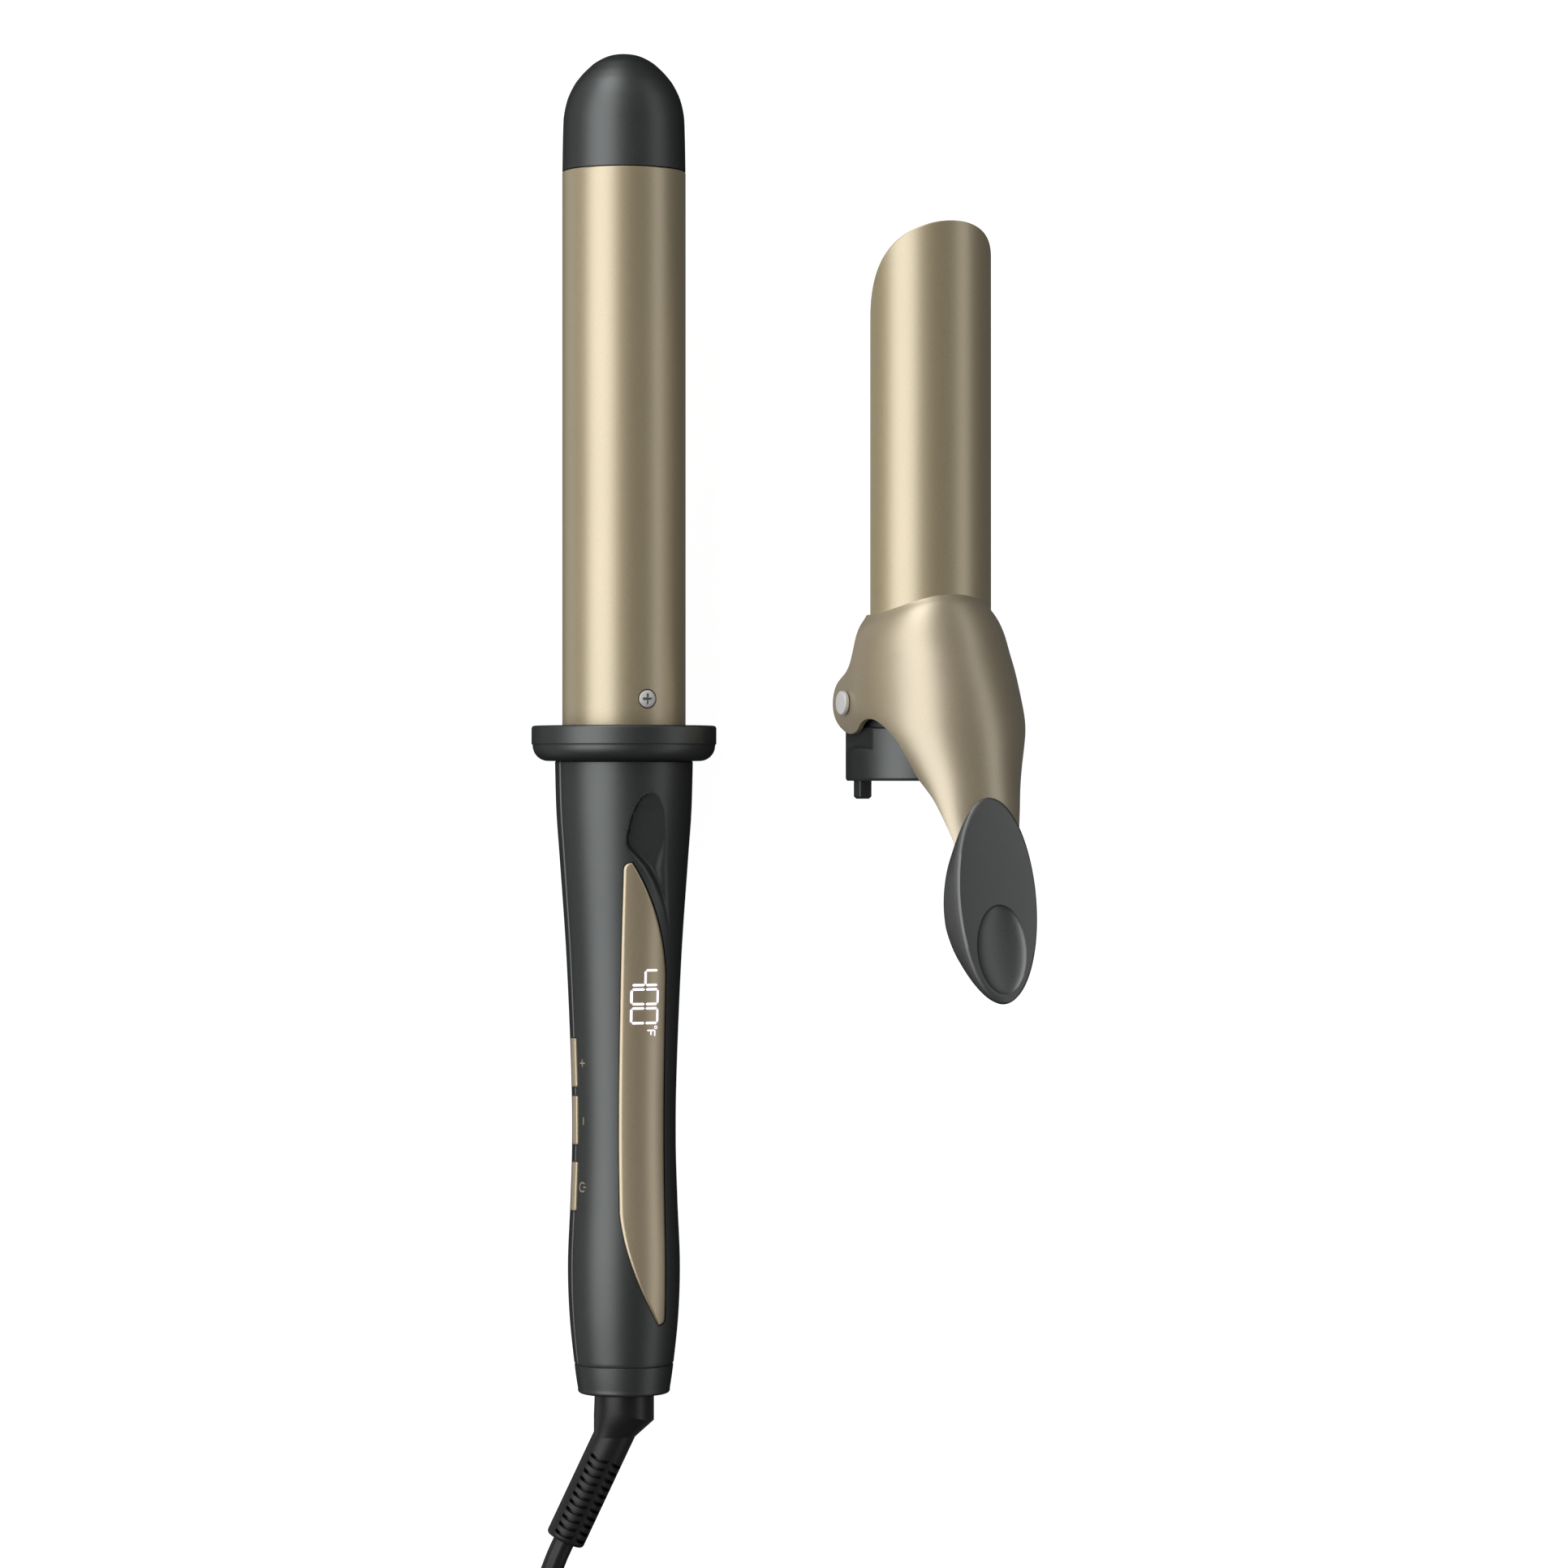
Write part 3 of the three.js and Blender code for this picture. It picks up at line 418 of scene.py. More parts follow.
def woven(name, colour):
    """Nylon hook-and-loop tape: a plain weave at half a millimetre, with fuzz."""
    shader = Shader(name, Roughness=0.9, Sheen_Weight=0.4, Sheen_Roughness=0.4)
    across = shader.node("TexWave", {"Vector": shader.place(), "Scale": 600.0, "Distortion": 0.6}, bands_direction="X")
    along = shader.node("TexWave", {"Vector": shader.place(), "Scale": 600.0, "Distortion": 0.6}, bands_direction="Y")
    weave = shader.node("Math", {0: across.outputs["Fac"], 1: along.outputs["Fac"]}, operation="MULTIPLY").outputs[0]
    shader.link(shader.ramp(weave, [(0.0, tint(colour, 0.6)), (1.0, tint(colour, 1.5))]), "Base Color")
    shader.link(shader.bump(weave, 0.5, 0.0002), "Normal")
    return shader.material


GOLD = metallic_paint("champagne_metal", (0.455, 0.37, 0.21), 0.62, 0.45, 1.0, contrast=0.2, gloss=2.1)
GOLD_HOOD = metallic_paint("champagne_hood", (0.435, 0.358, 0.225), 0.62, 0.45, 1.0, contrast=0.2, gloss=2.1)
GOLD_TRIM = metallic_paint("champagne_trim", (0.52, 0.42, 0.265), 0.62, 0.40, 0.9, grain=0.0004, contrast=0.12)
GRAPHITE = graphite_paint("graphite_plastic", (0.108, 0.113, 0.113), 0.96, 0.46, contrast=0.15)
# Painted light: a lighter copy of the graphite paint, its base colour raised so the thumb pad's upward face looks lit.
PAINTED_LIGHT_PAD_GRAPHITE = graphite_paint("pad_graphite_painted_light", (0.165, 0.17, 0.168), 0.92, 0.5, contrast=0.16)
BLACK = moulded_plastic("black_plastic", (0.009, 0.009, 0.0085), 0.38, contrast=0.15, bump=0.05, specular=0.5)
RUBBER = moulded_plastic("black_rubber", (0.009, 0.009, 0.0085), 0.44, contrast=0.15, bump=0.08, specular=0.42)
STEEL = brushed_metal("bright_steel", (0.62, 0.62, 0.63), 0.28)
NICKEL = brushed_metal("nickel_blades", (0.68, 0.66, 0.60), 0.22, (8, 1, 1))
SCREW_STEEL = moulded_plastic("matte_steel", (0.62, 0.62, 0.61), 0.35, contrast=0.08, bump=0.04, specular=0.9)
LED = glowing("display_light", (0.90, 0.87, 1.0), 1.1)
TAPE = woven("black_tape", (0.02, 0.02, 0.02))


# ---------------------------------------------------------------- camera and light
def look_at(made, target):
    made.rotation_euler = (Vector(target) - made.location).to_track_quat("-Z", "Y").to_euler()


def camera():
    axis_height = tube_middle.z
    distance, span, middle_y = 1.35, 0.4036, 0.0042
    data = bpy.data.cameras.new("camera")
    data.sensor_width = 36.0
    data.lens = data.sensor_width * distance / span
    data.clip_start = 0.05
    made = bpy.data.objects.new("camera", data)
    bpy.context.scene.collection.objects.link(made)
    made.location = (0, middle_y, axis_height + distance)
    bpy.context.scene.camera = made


def area_light(name, place, target, size, power, colour=(1, 1, 1)):
    data = bpy.data.lights.new(name, "AREA")
    data.shape = "RECTANGLE"
    data.size, data.size_y = size
    data.energy = power
    data.color = colour
    made = bpy.data.objects.new(name, data)
    bpy.context.scene.collection.objects.link(made)
    made.location = place
    look_at(made, target)
    return made


def strip(name, angle, distance, size, power, along=0.0):
    """A long soft box beside the object, its length along Y, at an angle from straight up towards +X."""
    angle = math.radians(angle)
    place = (distance * math.sin(angle), along, distance * math.cos(angle))
    return area_light(name, place, (0, along, 0.02), size[::-1], power)


def world_light(strength):
    world = bpy.data.worlds.new("studio")
    bpy.context.scene.world = world
    world.use_nodes = True
    nodes, links = world.node_tree.nodes, world.node_tree.links
    path = nodes.new("ShaderNodeLightPath")
    level = nodes.new("ShaderNodeMapRange")
    level.inputs["To Min"].default_value = strength
    level.inputs["To Max"].default_value = 1.0
    links.new(path.outputs["Is Camera Ray"], level.inputs["Value"])
    links.new(level.outputs["Result"], nodes["Background"].inputs["Strength"])
    nodes["Background"].inputs["Color"].default_value = (1, 1, 1, 1)


def floor():
    """A plain pale table for the camera, clear to every other ray, so the object is lit as if it hung free."""
    size = 3.0
    made = new_object("floor", [[-size, -size, 0], [size, -size, 0], [size, size, 0], [-size, size, 0]],
                      [[0, 1, 2, 3]], Place((0, 0, 0), 0))
    made.data.transform(Matrix.Scale(1 / MM, 4))
    material = bpy.data.materials.new("pale_table")
    material.use_nodes = True
    nodes, links = material.node_tree.nodes, material.node_tree.links
    nodes.remove(nodes["Principled BSDF"])
    clear = nodes.new("ShaderNodeBsdfTransparent")
    pale = nodes.new("ShaderNodeBsdfDiffuse")
    pale.inputs["Color"].default_value = (0.25, 0.25, 0.25, 1)
    lit = nodes.new("ShaderNodeEmission")
    lit.inputs["Strength"].default_value = 0.97
    seen = nodes.new("ShaderNodeAddShader")
    links.new(pale.outputs[0], seen.inputs[0])
    links.new(lit.outputs[0], seen.inputs[1])
    path = nodes.new("ShaderNodeLightPath")
    mix = nodes.new("ShaderNodeMixShader")
    links.new(path.outputs["Is Camera Ray"], mix.inputs["Fac"])
    links.new(clear.outputs[0], mix.inputs[1])
    links.new(seen.outputs[0], mix.inputs[2])
    links.new(mix.outputs[0], nodes["Material Output"].inputs["Surface"])
    made.data.materials.append(material)


bpy.context.scene.view_settings.view_transform = "Standard"
camera()
world_light(0.10)
floor()
strip("key", -42, 1.0, (0.92, 2.7), 18.9, 0.82)
strip("low_fill", -113, 1.0, (0.6, 2.6), 2.0, 0.3)
strip("rim", 66, 1.0, (0.36, 2.8), 3.6, 0.4)
area_light("head", (-0.55, 1.5, 0.35), (-0.04, 0.16, 0.02), (0.7, 0.7), 5.5)


# ---------------------------------------------------------------- cord
LEAD_ROUTE = [[-60.9, -201, 22.7], [-63.8, -208.5, 18.8], [-66.2, -216.5, 13], [-67.9, -226, 7.9],
              [-68.8, -236, 4.9], [-68.9, -245, 4.05]]
TAIL_ROUTE = [[-22, -291.9, 9.3], [-14, -291.6, 7.9], [-6, -290.9, 6.5], [1, -290, 6.2], [7.4, -289.6, 6.5]]
COIL_CENTRE = (-29.0, -252.0)
# The coil's turns: its lanes and layers, and the angles in degrees over which the cord changes them.
LANES = [39.9, 34.3, 28.7, 23.1]
LAYERS = [4.0, 9.6]
LANE_CHANGES = [(360, 420), (720, 780), (1080, 1140), (1680, 1740), (2040, 2100), (2400, 2460)]
CLIMB = (1380, 1440)
COIL_START, COIL_END = 180, 2790


def ease(value, low, high):
    t = np.clip((value - low) / (high - low), 0, 1)
    return t * t * (3 - 2 * t)


def coil_point(angle):
    """The cord's centre, wound to an angle in degrees: four lanes in, one layer up, four lanes out."""
    lanes = LANES + LANES[-2::-1]
    radius = lanes[0]
    for (low, high), before, after in zip(LANE_CHANGES, lanes, lanes[1:]):
        radius += (after - before) * ease(angle, low, high)
    height = LAYERS[0] + (LAYERS[1] - LAYERS[0]) * ease(angle, *CLIMB)
    turn = math.radians(angle)
    return [COIL_CENTRE[0] + radius * math.cos(turn), COIL_CENTRE[1] + radius * math.sin(turn), height]


def resample(points, step):
    """Points at even spacing along a line."""
    points = np.asarray(points, float)
    run = np.concatenate([[0], np.cumsum(np.linalg.norm(np.diff(points, axis=0), axis=1))])
    count = max(2, round(run[-1] / step) + 1)
    at = np.linspace(0, run[-1], count)
    return np.stack([np.interp(at, run, points[:, k]) for k in range(3)], -1)


def sweep(name, path, section, place, up=(0, 0, 1)):
    """A closed section [(across, up), ...] swept along a path, kept upright, with flat ends."""
    along = np.gradient(path, axis=0)
    along /= np.linalg.norm(along, axis=1)[:, None]
    across = np.cross(along, np.array(up, float))
    across /= np.linalg.norm(across, axis=1)[:, None]
    upward = np.cross(across, along)
    section = np.asarray(section, float)
    rings = path[:, None] + section[None, :, :1] * across[:, None] + section[None, :, 1:] * upward[:, None]
    return stack(name, rings, place)


def cord():
    boot_way = np.array([-math.sin(RELIEF["angle"]), -math.cos(RELIEF["angle"]), 0])
    bend = np.array(WAND.point(0, NECK["bend"], 0)) / MM
    boot_end = bend + boot_way * RELIEF["length"]
    start = [boot_end - boot_way * 3.0, boot_end + boot_way * 0.3, boot_end + boot_way * 4.0]
    coil = [coil_point(angle) for angle in range(COIL_START, COIL_END + 1, 6)]
    path = resample(spline(np.vstack([start, LEAD_ROUTE, coil, TAIL_ROUTE]), 5), 2.4)
    ribs = 2
    angle = np.linspace(0, 2 * math.pi, 40, endpoint=False)
    groove = np.exp(-(np.angle(np.exp(1j * ribs * (angle - math.radians(68)))) / 0.30) ** 2)
    radius = CORD_RADIUS * (1 - 0.10 * groove)
    section = np.stack([radius * np.cos(angle), radius * np.sin(angle)], -1)
    made = sweep("power_cord", path, section, ROOM)
    metres = path * MM
    length = float(np.linalg.norm(np.diff(metres, axis=0), axis=1).sum())
    smooth(made, 60)
    made.data.materials.append(RUBBER)
    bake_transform(made)
    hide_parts("power_cord_lead", "power_cord_coil", "power_cord_tail")
    return made, metres, length, boot_end * MM


lead, lead_path, lead_length, lead_exit = cord()


def cord_tie():
    low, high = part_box("cord_tie")
    low, high = np.array(low) / MM, np.array(high) / MM
    half_width = (high[0] - low[0]) / 2
    half_height = (high[2] - low[2]) / 2
    centre = (low + high) / 2
    corner = 5.2
    outer = rounded_rectangle(half_width, half_height, corner, 10)
    inner = rounded_rectangle(half_width - 0.85, half_height - 0.85, corner - 0.85, 10)
    rings = []
    for y, outline in ((low[1], inner), (low[1], outer), (high[1], outer), (high[1], inner), (low[1], inner)):
        ring = np.zeros((len(outline), 3))
        ring[:, 0], ring[:, 1], ring[:, 2] = outline[:, 0] + centre[0], y, outline[:, 1] + centre[2]
        rings.append(ring)
    made = stack("tie_strap", rings, ROOM, (False, False))
    bevel = made.modifiers.new("edges", "BEVEL")
    bevel.width, bevel.segments, bevel.limit_method = 0.0002, 2, "ANGLE"
    tab = stack("tie_tab", [
        np.stack([o[:, 0] + centre[0], o[:, 1] + centre[1], np.full(len(o), z)], -1)
        for o, z in ((rounded_rectangle(8, 4.3, 2), high[2] - 0.3), (rounded_rectangle(8, 4.3, 2), high[2] + 0.55),
                     (rounded_rectangle(7.7, 4.0, 1.8), high[2] + 0.75))], ROOM)
    join(made, tab)
    return finish_piece(made, "wand", TAPE, ["cord_tie"])


# ---------------------------------------------------------------- plug
def plug():
    low, high = (np.array(corner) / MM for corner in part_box("plug_body"))
    centre = (low + high) / 2
    length = high[0] - low[0]
    half_w, half_h = (high[1] - low[1]) / 2, (high[2] - low[2]) / 2
    stations = [(0, 0.72, 0.3), (0.04, 0.80, 0), (0.12, 0.86, 0), (0.3, 0.86, 0), (0.45, 0.82, 0), (0.6, 0.84, 0),
                (0.74, 0.96, 0), (0.8, 1.0, 0), (0.97, 1.0, 0), (1.0, 0.96, 0)]
    curve = spline([[s[0] * length, s[1]] for s in stations], 6)
    rings = []
    for x, scale in curve:
        height = half_h * (0.80 + 0.20 * min(1, scale ** 2)) if scale < 1 else half_h
        outline = rounded_rectangle(half_w * min(scale, 1), height, 4.2, 10)
        ring = np.stack([np.full(len(outline), low[0] + x), centre[1] + outline[:, 0], centre[2] + outline[:, 1]], -1)
        rings.append(ring)
    body = stack("plug_shell", rings, ROOM)
    for side in (-1, 1):
        for k in range(5):
            x = low[0] + length * (0.28 + 0.085 * k)
            y = centre[1] + side * (half_w * 0.92)
            boolean(body, rod("rib", (x, y, centre[2] - 9), (x, y, centre[2] + 9), 0.75, ROOM, 24))
    finish_piece(body, "wand", BLACK, ["plug_body"])

    low, high = (np.array(corner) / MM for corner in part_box("plug_strain_relief"))
    length, radius = high[0] - low[0], (high[1] - low[1]) / 2
    profile = [[0, 0, 0], [3.3, 0, 0.6]]
    ribs = 6
    for k in range(ribs):
        r = 3.5 + (radius - 3.6) * (k + 1) / ribs
        y = length * (k + 0.7) / (ribs + 0.5)
        profile += [[r, y, 0.2], [r, y + 1.1, 0.2], [r - 0.8, y + 1.1, 0.15], [r - 0.8, y + 1.9, 0.15]]
    profile = [p for p in profile if p[1] < length - 1.2] + [[radius, length - 1.2, 0.3], [radius, length, 0], [0, length, 0]]
    place = Place(Vector((low[0] * MM, centre[1] * MM, centre[2] * MM)), 0)
    place.matrix = place.matrix @ Matrix.Rotation(-math.pi / 2, 4, "Z")
    relief = lathe("plug_relief", fillet(profile, steps=4), place, 64)
    finish_piece(relief, "wand", RUBBER, ["plug_strain_relief"])

    blades = []
    for name in ("plug_blade_left", "plug_blade_right"):
        low, high = (np.array(corner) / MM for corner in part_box(name))
        centre = (low + high) / 2
        half_z = (high[2] - low[2]) / 2
        half_y = (high[1] - low[1]) / 2
        outline = fillet([(low[0], -half_z, 0), (high[0] - 1.6, -half_z, 1), (high[0], -half_z + 1.8, 0.8),
                          (high[0], half_z - 1.8, 0.8), (high[0] - 1.6, half_z, 1), (low[0], half_z, 0)], steps=5)
        rings = []
        for level, inset in ((-1, 0.25), (-0.7, 0), (0.7, 0), (1, 0.25)):
            shrunk = outline + (outline.mean(0) - outline) * inset / half_z
            rings.append(np.stack([shrunk[:, 0], np.full(len(outline), centre[1] + level * half_y),
                                   centre[2] + shrunk[:, 1]], -1))
        blade = stack(name + "_pressed", rings, ROOM)
        hole_x = high[0] - 4.6
        boolean(blade, rod("hole", (hole_x, centre[1] - 3, centre[2]), (hole_x, centre[1] + 3, centre[2]), 1.6, ROOM))
        blades.append(finish_piece(blade, "wand", NICKEL, [name]))
    return [body, relief, *blades]


tie_piece = cord_tie()
plug_pieces = plug()


# ---------------------------------------------------------------- wand: barrel, cap, screw, disc
def barrel():
    radius, inner = BARREL["radius"], BARREL["radius"] - BARREL["wall"]
    low, high = -BARREL["sunk"], BARREL["length"]
    profile = refine(fillet([(inner, low, 0), (radius, low, 0.3), (radius, high, 0.45), (inner, high, 0.2)]), 4.0)
    made = lathe("barrel_sleeve", profile, WAND, 192)
    for side in (-1, 1):
        boolean(made, rod("hole", (0, SCREW["y"], side * 9), (0, SCREW["y"], side * 20), SCREW["head"] + 0.32, WAND))
    finish_piece(made, "wand", GOLD, ["barrel_tube"])


def cap():
    base = BARREL["length"]
    outer = [[r, base + y] for r, y in spline(CAP, 5)]
    outer[0][1] = base + 0.16
    inside = BARREL["radius"] - BARREL["wall"] - GAP
    profile = [[0, base - 4], [inside, base - 4], [inside, base + 0.16], *outer]
    made = lathe("cap_moulding", np.array(profile), WAND, 192, closed=False)
    finish_piece(made, "wand", GRAPHITE, ["cool_tip"])


def barrel_screw(name, side):
    """A pan head with a cross recess, standing in the barrel wall."""
    head, y = SCREW["head"], SCREW["y"]
    seat = BARREL["radius"] - 1.0
    top = BARREL["radius"] + 0.1
    place = Place((0, 0, 0), 0)
    turn = Matrix.Rotation(math.pi / 2 * side, 4, "X")
    place.matrix = WAND.matrix @ Matrix.Translation((0, y * MM, 0)) @ turn
    dome = [[head * math.sin(a), top + 0.35 - (1 - math.cos(a)) * 0.9] for a in np.linspace(0, math.radians(62), 9)]
    dome = [[r / dome[-1][0] * head, h] for r, h in dome]
    profile = [[0, seat - 5], [1.3, seat - 5], [1.3, seat], [head, seat], [head, dome[-1][1] - 0.25], *dome[::-1]]
    made = lathe(name + "_pan", np.array(profile), place, 72, closed=False)
    for turned in (0, math.pi / 2):
        outline = np.array([(-0.33, -1.4), (0.33, -1.4), (0.33, 1.4), (-0.33, 1.4)])
        c, s = math.cos(turned), math.sin(turned)
        outline = outline @ np.array([[c, s], [-s, c]])
        rings = []
        for height, shrink in ((top - 1.6, 0.8), (top + 1.0, 1.1)):
            rings.append(np.stack([outline[:, 0] * shrink, np.full(4, height), outline[:, 1] * shrink], -1))
        boolean(made, stack("recess", rings, place))
    finish_piece(made, "wand", SCREW_STEEL, [name])


def disc():
    r, h, crease = DISC["radius"], DISC["height"], DISC["crease"]
    bend = 4.0
    corner = [(r - 0.3 - bend + bend * math.cos(a), -h + bend - bend * math.sin(a), 0)
              for a in np.linspace(0, math.pi / 2, 14)]
    profile = fillet([(DISC["bore"], 0, 0.25), (r, 0, 0.8), (r, -crease, 0.1), (r - 0.2, -crease - 0.16, 0.08),
                      *corner, (DISC["bore"], -h, 0.2)], steps=8)
    made = lathe("disc_moulding", profile, WAND, 224)
    for side in (-1, 1):
        boolean(made, box_object("slot", (side * 18.2 - 2.0, side * 18.2 + 2.0), (-5.4, 1), (-2.3, 2.3), WAND))
    finish_piece(made, "wand", GRAPHITE, ["heat_guard_disc"])


# ---------------------------------------------------------------- wand: handle
handle_curve = spline([[-y, r] for y, r in HANDLE], 14)


def handle_radius(y):
    return np.interp(-np.asarray(y, float), -handle_curve[:, 0], handle_curve[:, 1])


def leaf(grow=0.0, steps=26):
    """The panel's outline in local X and Y, as left and right halves run round from the upper tip."""
    w = PANEL["half_width"] + grow
    top, bottom = PANEL["top"] + grow, PANEL["bottom"] - grow
    tip = PANEL["tip"]
    t = np.linspace(0, 1, steps)[:, None]

    def curve(a, b, c):
        a, b, c = (np.array(p, float) for p in (a, b, c))
        return (1 - t) ** 2 * a + 2 * t * (1 - t) * b + t ** 2 * c

    parts = [curve((-w, top - tip), (-w, top), (-w + tip + 2 * grow, top)),
             curve((-w + tip + 2 * grow, top), (w - 1, top - PANEL["sweep"] / 2), (w, top - PANEL["sweep"])),
             np.linspace((w, top - PANEL["sweep"]), (w, bottom + tip), 90),
             curve((w, bottom + tip), (w, bottom), (w - tip - 2 * grow, bottom)),
             curve((w - tip - 2 * grow, bottom), (-w + 1, bottom + PANEL["sweep"] / 2), (-w, bottom + PANEL["sweep"])),
             np.linspace((-w, bottom + PANEL["sweep"]), (-w, top - tip), 90)]
    return np.vstack([part[:-1] for part in parts])


def outline_distance(points, outline):
    """How far each point is from a closed outline."""
    a, b = outline, np.roll(outline, -1, 0)
    d = b - a
    best = np.full(len(points), 1e9)
    for start, step in zip(a, d):
        t = np.clip(((points - start) @ step) / max(step @ step, 1e-12), 0, 1)
        best = np.minimum(best, np.linalg.norm(points - start - t[:, None] * step, axis=1))
    return best


def inside_outline(points, outline):
    x, y = points[:, 0], points[:, 1]
    inside = np.zeros(len(points), bool)
    for (x1, y1), (x2, y2) in zip(outline, np.roll(outline, -1, 0)):
        crosses = (y1 > y) != (y2 > y)
        at = (x2 - x1) * (y - y1) / (y2 - y1 if y2 != y1 else 1e-12) + x1
        inside ^= crosses & (x < at)
    return inside


# The thumb scoop above the panel, a closed outline in local X and Y.
SCOOP = [[0.3, -16.9], [-2.4, -18.6], [-4.6, -23], [-5.7, -28], [-5.6, -31.2], [-3.9, -33.4], [-0.6, -37.4],
         [2.4, -42], [4.9, -47.4], [6.8, -54], [8.2, -62], [7.6, -54], [6.6, -45], [5.7, -35], [5.2, -28], [4.3, -21.5],
         [2.6, -18.2], [0.3, -16.9]]
SCOOP_EDGE = [[16.9, 0.3], [18.2, 2.6], [21.5, 4.3], [28, 5.2], [35, 5.7], [45, 6.6], [54, 7.6], [62, 8.2]]
SCOOP_TILT = 0.2


def scoop_depth(points):
    """Depth below the handle of a nearly flat floor that runs out at the scoop's right edge."""
    outline = spline(SCOOP, 8)
    depth = np.zeros(len(points))
    near = (points[:, 0] > -9) & (points[:, 0] < 12) & (points[:, 1] < -12) & (points[:, 1] > -66)
    x, y = points[near].T
    distance = outline_distance(points[near], outline)
    signed = np.where(inside_outline(points[near], outline), distance, -distance)
    radius = handle_radius(y)
    edge = np.interp(-y, *np.array(SCOOP_EDGE).T)
    floor_height = np.sqrt(radius ** 2 - edge ** 2) - SCOOP_TILT * (edge - x)
    below = np.clip(np.sqrt(radius ** 2 - x ** 2) - floor_height, 0, 3)
    wall = np.interp(-y, [29, 36], [0.8, 3.2])
    depth[near] = below * ease(signed + 0.1, 0, wall)
    return depth


def half_shell(name, side):
    """Half of the handle's shell, a wall swept half a turn about Y with a hairline at the parting line."""
    rows = np.arange(HANDLE_TOP - 0.3, SHELL_END + 0.3, -0.5)
    edge = 0.15
    outer = [[handle_radius(HANDLE_TOP) - edge, HANDLE_TOP], *[[handle_radius(y), y] for y in rows],
             [handle_radius(SHELL_END) - edge, SHELL_END]]
    inner = [[handle_radius(y) - SHELL_WALL, y] for y in np.linspace(SHELL_END, HANDLE_TOP, 40)]
    profile = np.array(outer + inner)
    columns = 220
    start = 0.16 / 14.5
    angle = np.linspace(start, math.pi - start, columns)
    lip = np.minimum(1, np.minimum(angle - start, math.pi - start - angle) / 0.03)
    ease_in = 0.3 * (1 - np.sqrt(1 - (1 - lip) ** 2))
    radius = profile[:, None, 0] - ease_in * (np.arange(len(profile)) < len(outer))[:, None]
    points = np.stack([-radius * np.cos(angle), np.broadcast_to(profile[:, None, 1], radius.shape),
                       side * radius * np.sin(angle)], -1)
    if side > 0:
        flat = points[:len(outer)].reshape(-1, 3)
        depth = scoop_depth(flat[:, :2])
        scale = 1 - depth / np.linalg.norm(flat[:, ::2], axis=1)
        flat[:, 0] *= scale
        flat[:, 2] *= scale
        points[:len(outer)] = flat.reshape(len(outer), columns, 3)
    count = len(profile)
    faces = quads(count, columns, True, False)
    faces.append([i * columns for i in range(count)])
    faces.append([i * columns + columns - 1 for i in range(count)])
    return tidy(new_object(name, points.reshape(-1, 3), faces, WAND))


def button_outline(half_length, half_width, radius, steps=8):
    return rounded_rectangle(half_length, half_width, radius, steps)


def panel_pocket(grow, floor_depth):
    """A cutter whose floor follows the handle below its surface."""
    outline = leaf(grow)
    low = np.stack([outline[:, 0], outline[:, 1],
                    np.sqrt(handle_radius(outline[:, 1]) ** 2 - outline[:, 0] ** 2) - floor_depth], -1)
    high = low.copy()
    high[:, 2] = 22
    return stack("pocket", [low, high], WAND)


def shells():
    for name, side in (("front", 1), ("rear", -1)):
        made = half_shell(f"handle_{name}_moulding", side)
        if side > 0:
            boolean(made, panel_pocket(0.13, 1.9))
        for y in BUTTONS.values():
            outline = button_outline(BUTTON["length"] / 2 + 0.16, BUTTON["width"] / 2 + 0.16, 0.75)
            rings = [np.stack([np.full(len(outline), x), outline[:, 0] + y, outline[:, 1]], -1) for x in (-18, -10)]
            boolean(made, stack("slot", rings, WAND))
        if side < 0:
            for y in HANDLE_SCREWS.values():
                boolean(made, rod("well", (0, y, -20), (0, y, -9), 2.9, WAND))
        finish_piece(made, "wand", GRAPHITE, [f"handle_{name}_shell"], 24)


def end_cap():
    top = SHELL_END - 0.14
    rows = np.arange(top - 0.15, HANDLE_END + 1.2, -0.5)
    outer = [[handle_radius(y), y] for y in rows]
    low_radius = handle_radius(HANDLE_END)
    corner = 0.9
    turned = [[low_radius + 0.25 - corner + corner * math.cos(a), HANDLE_END + corner - corner * math.sin(a)]
              for a in np.linspace(0, math.pi / 2, 9)]
    ledge = -167.0  # the neck's flange sits on it, in a wider bore
    profile = [[8.1, ledge], [NECK["flange"] + 0.2, ledge], [NECK["flange"] + 0.2, top], [outer[0][0] - 0.14, top],
               *outer, *turned, [8.4, HANDLE_END], [8.1, HANDLE_END + 0.3]]
    made = lathe("end_cap_moulding", np.array(profile), WAND, 192)
    finish_piece(made, "wand", GRAPHITE, ["handle_end_cap"])


def panel_height(x, y):
    return np.sqrt(np.maximum(handle_radius(y) ** 2 - x ** 2, 1))


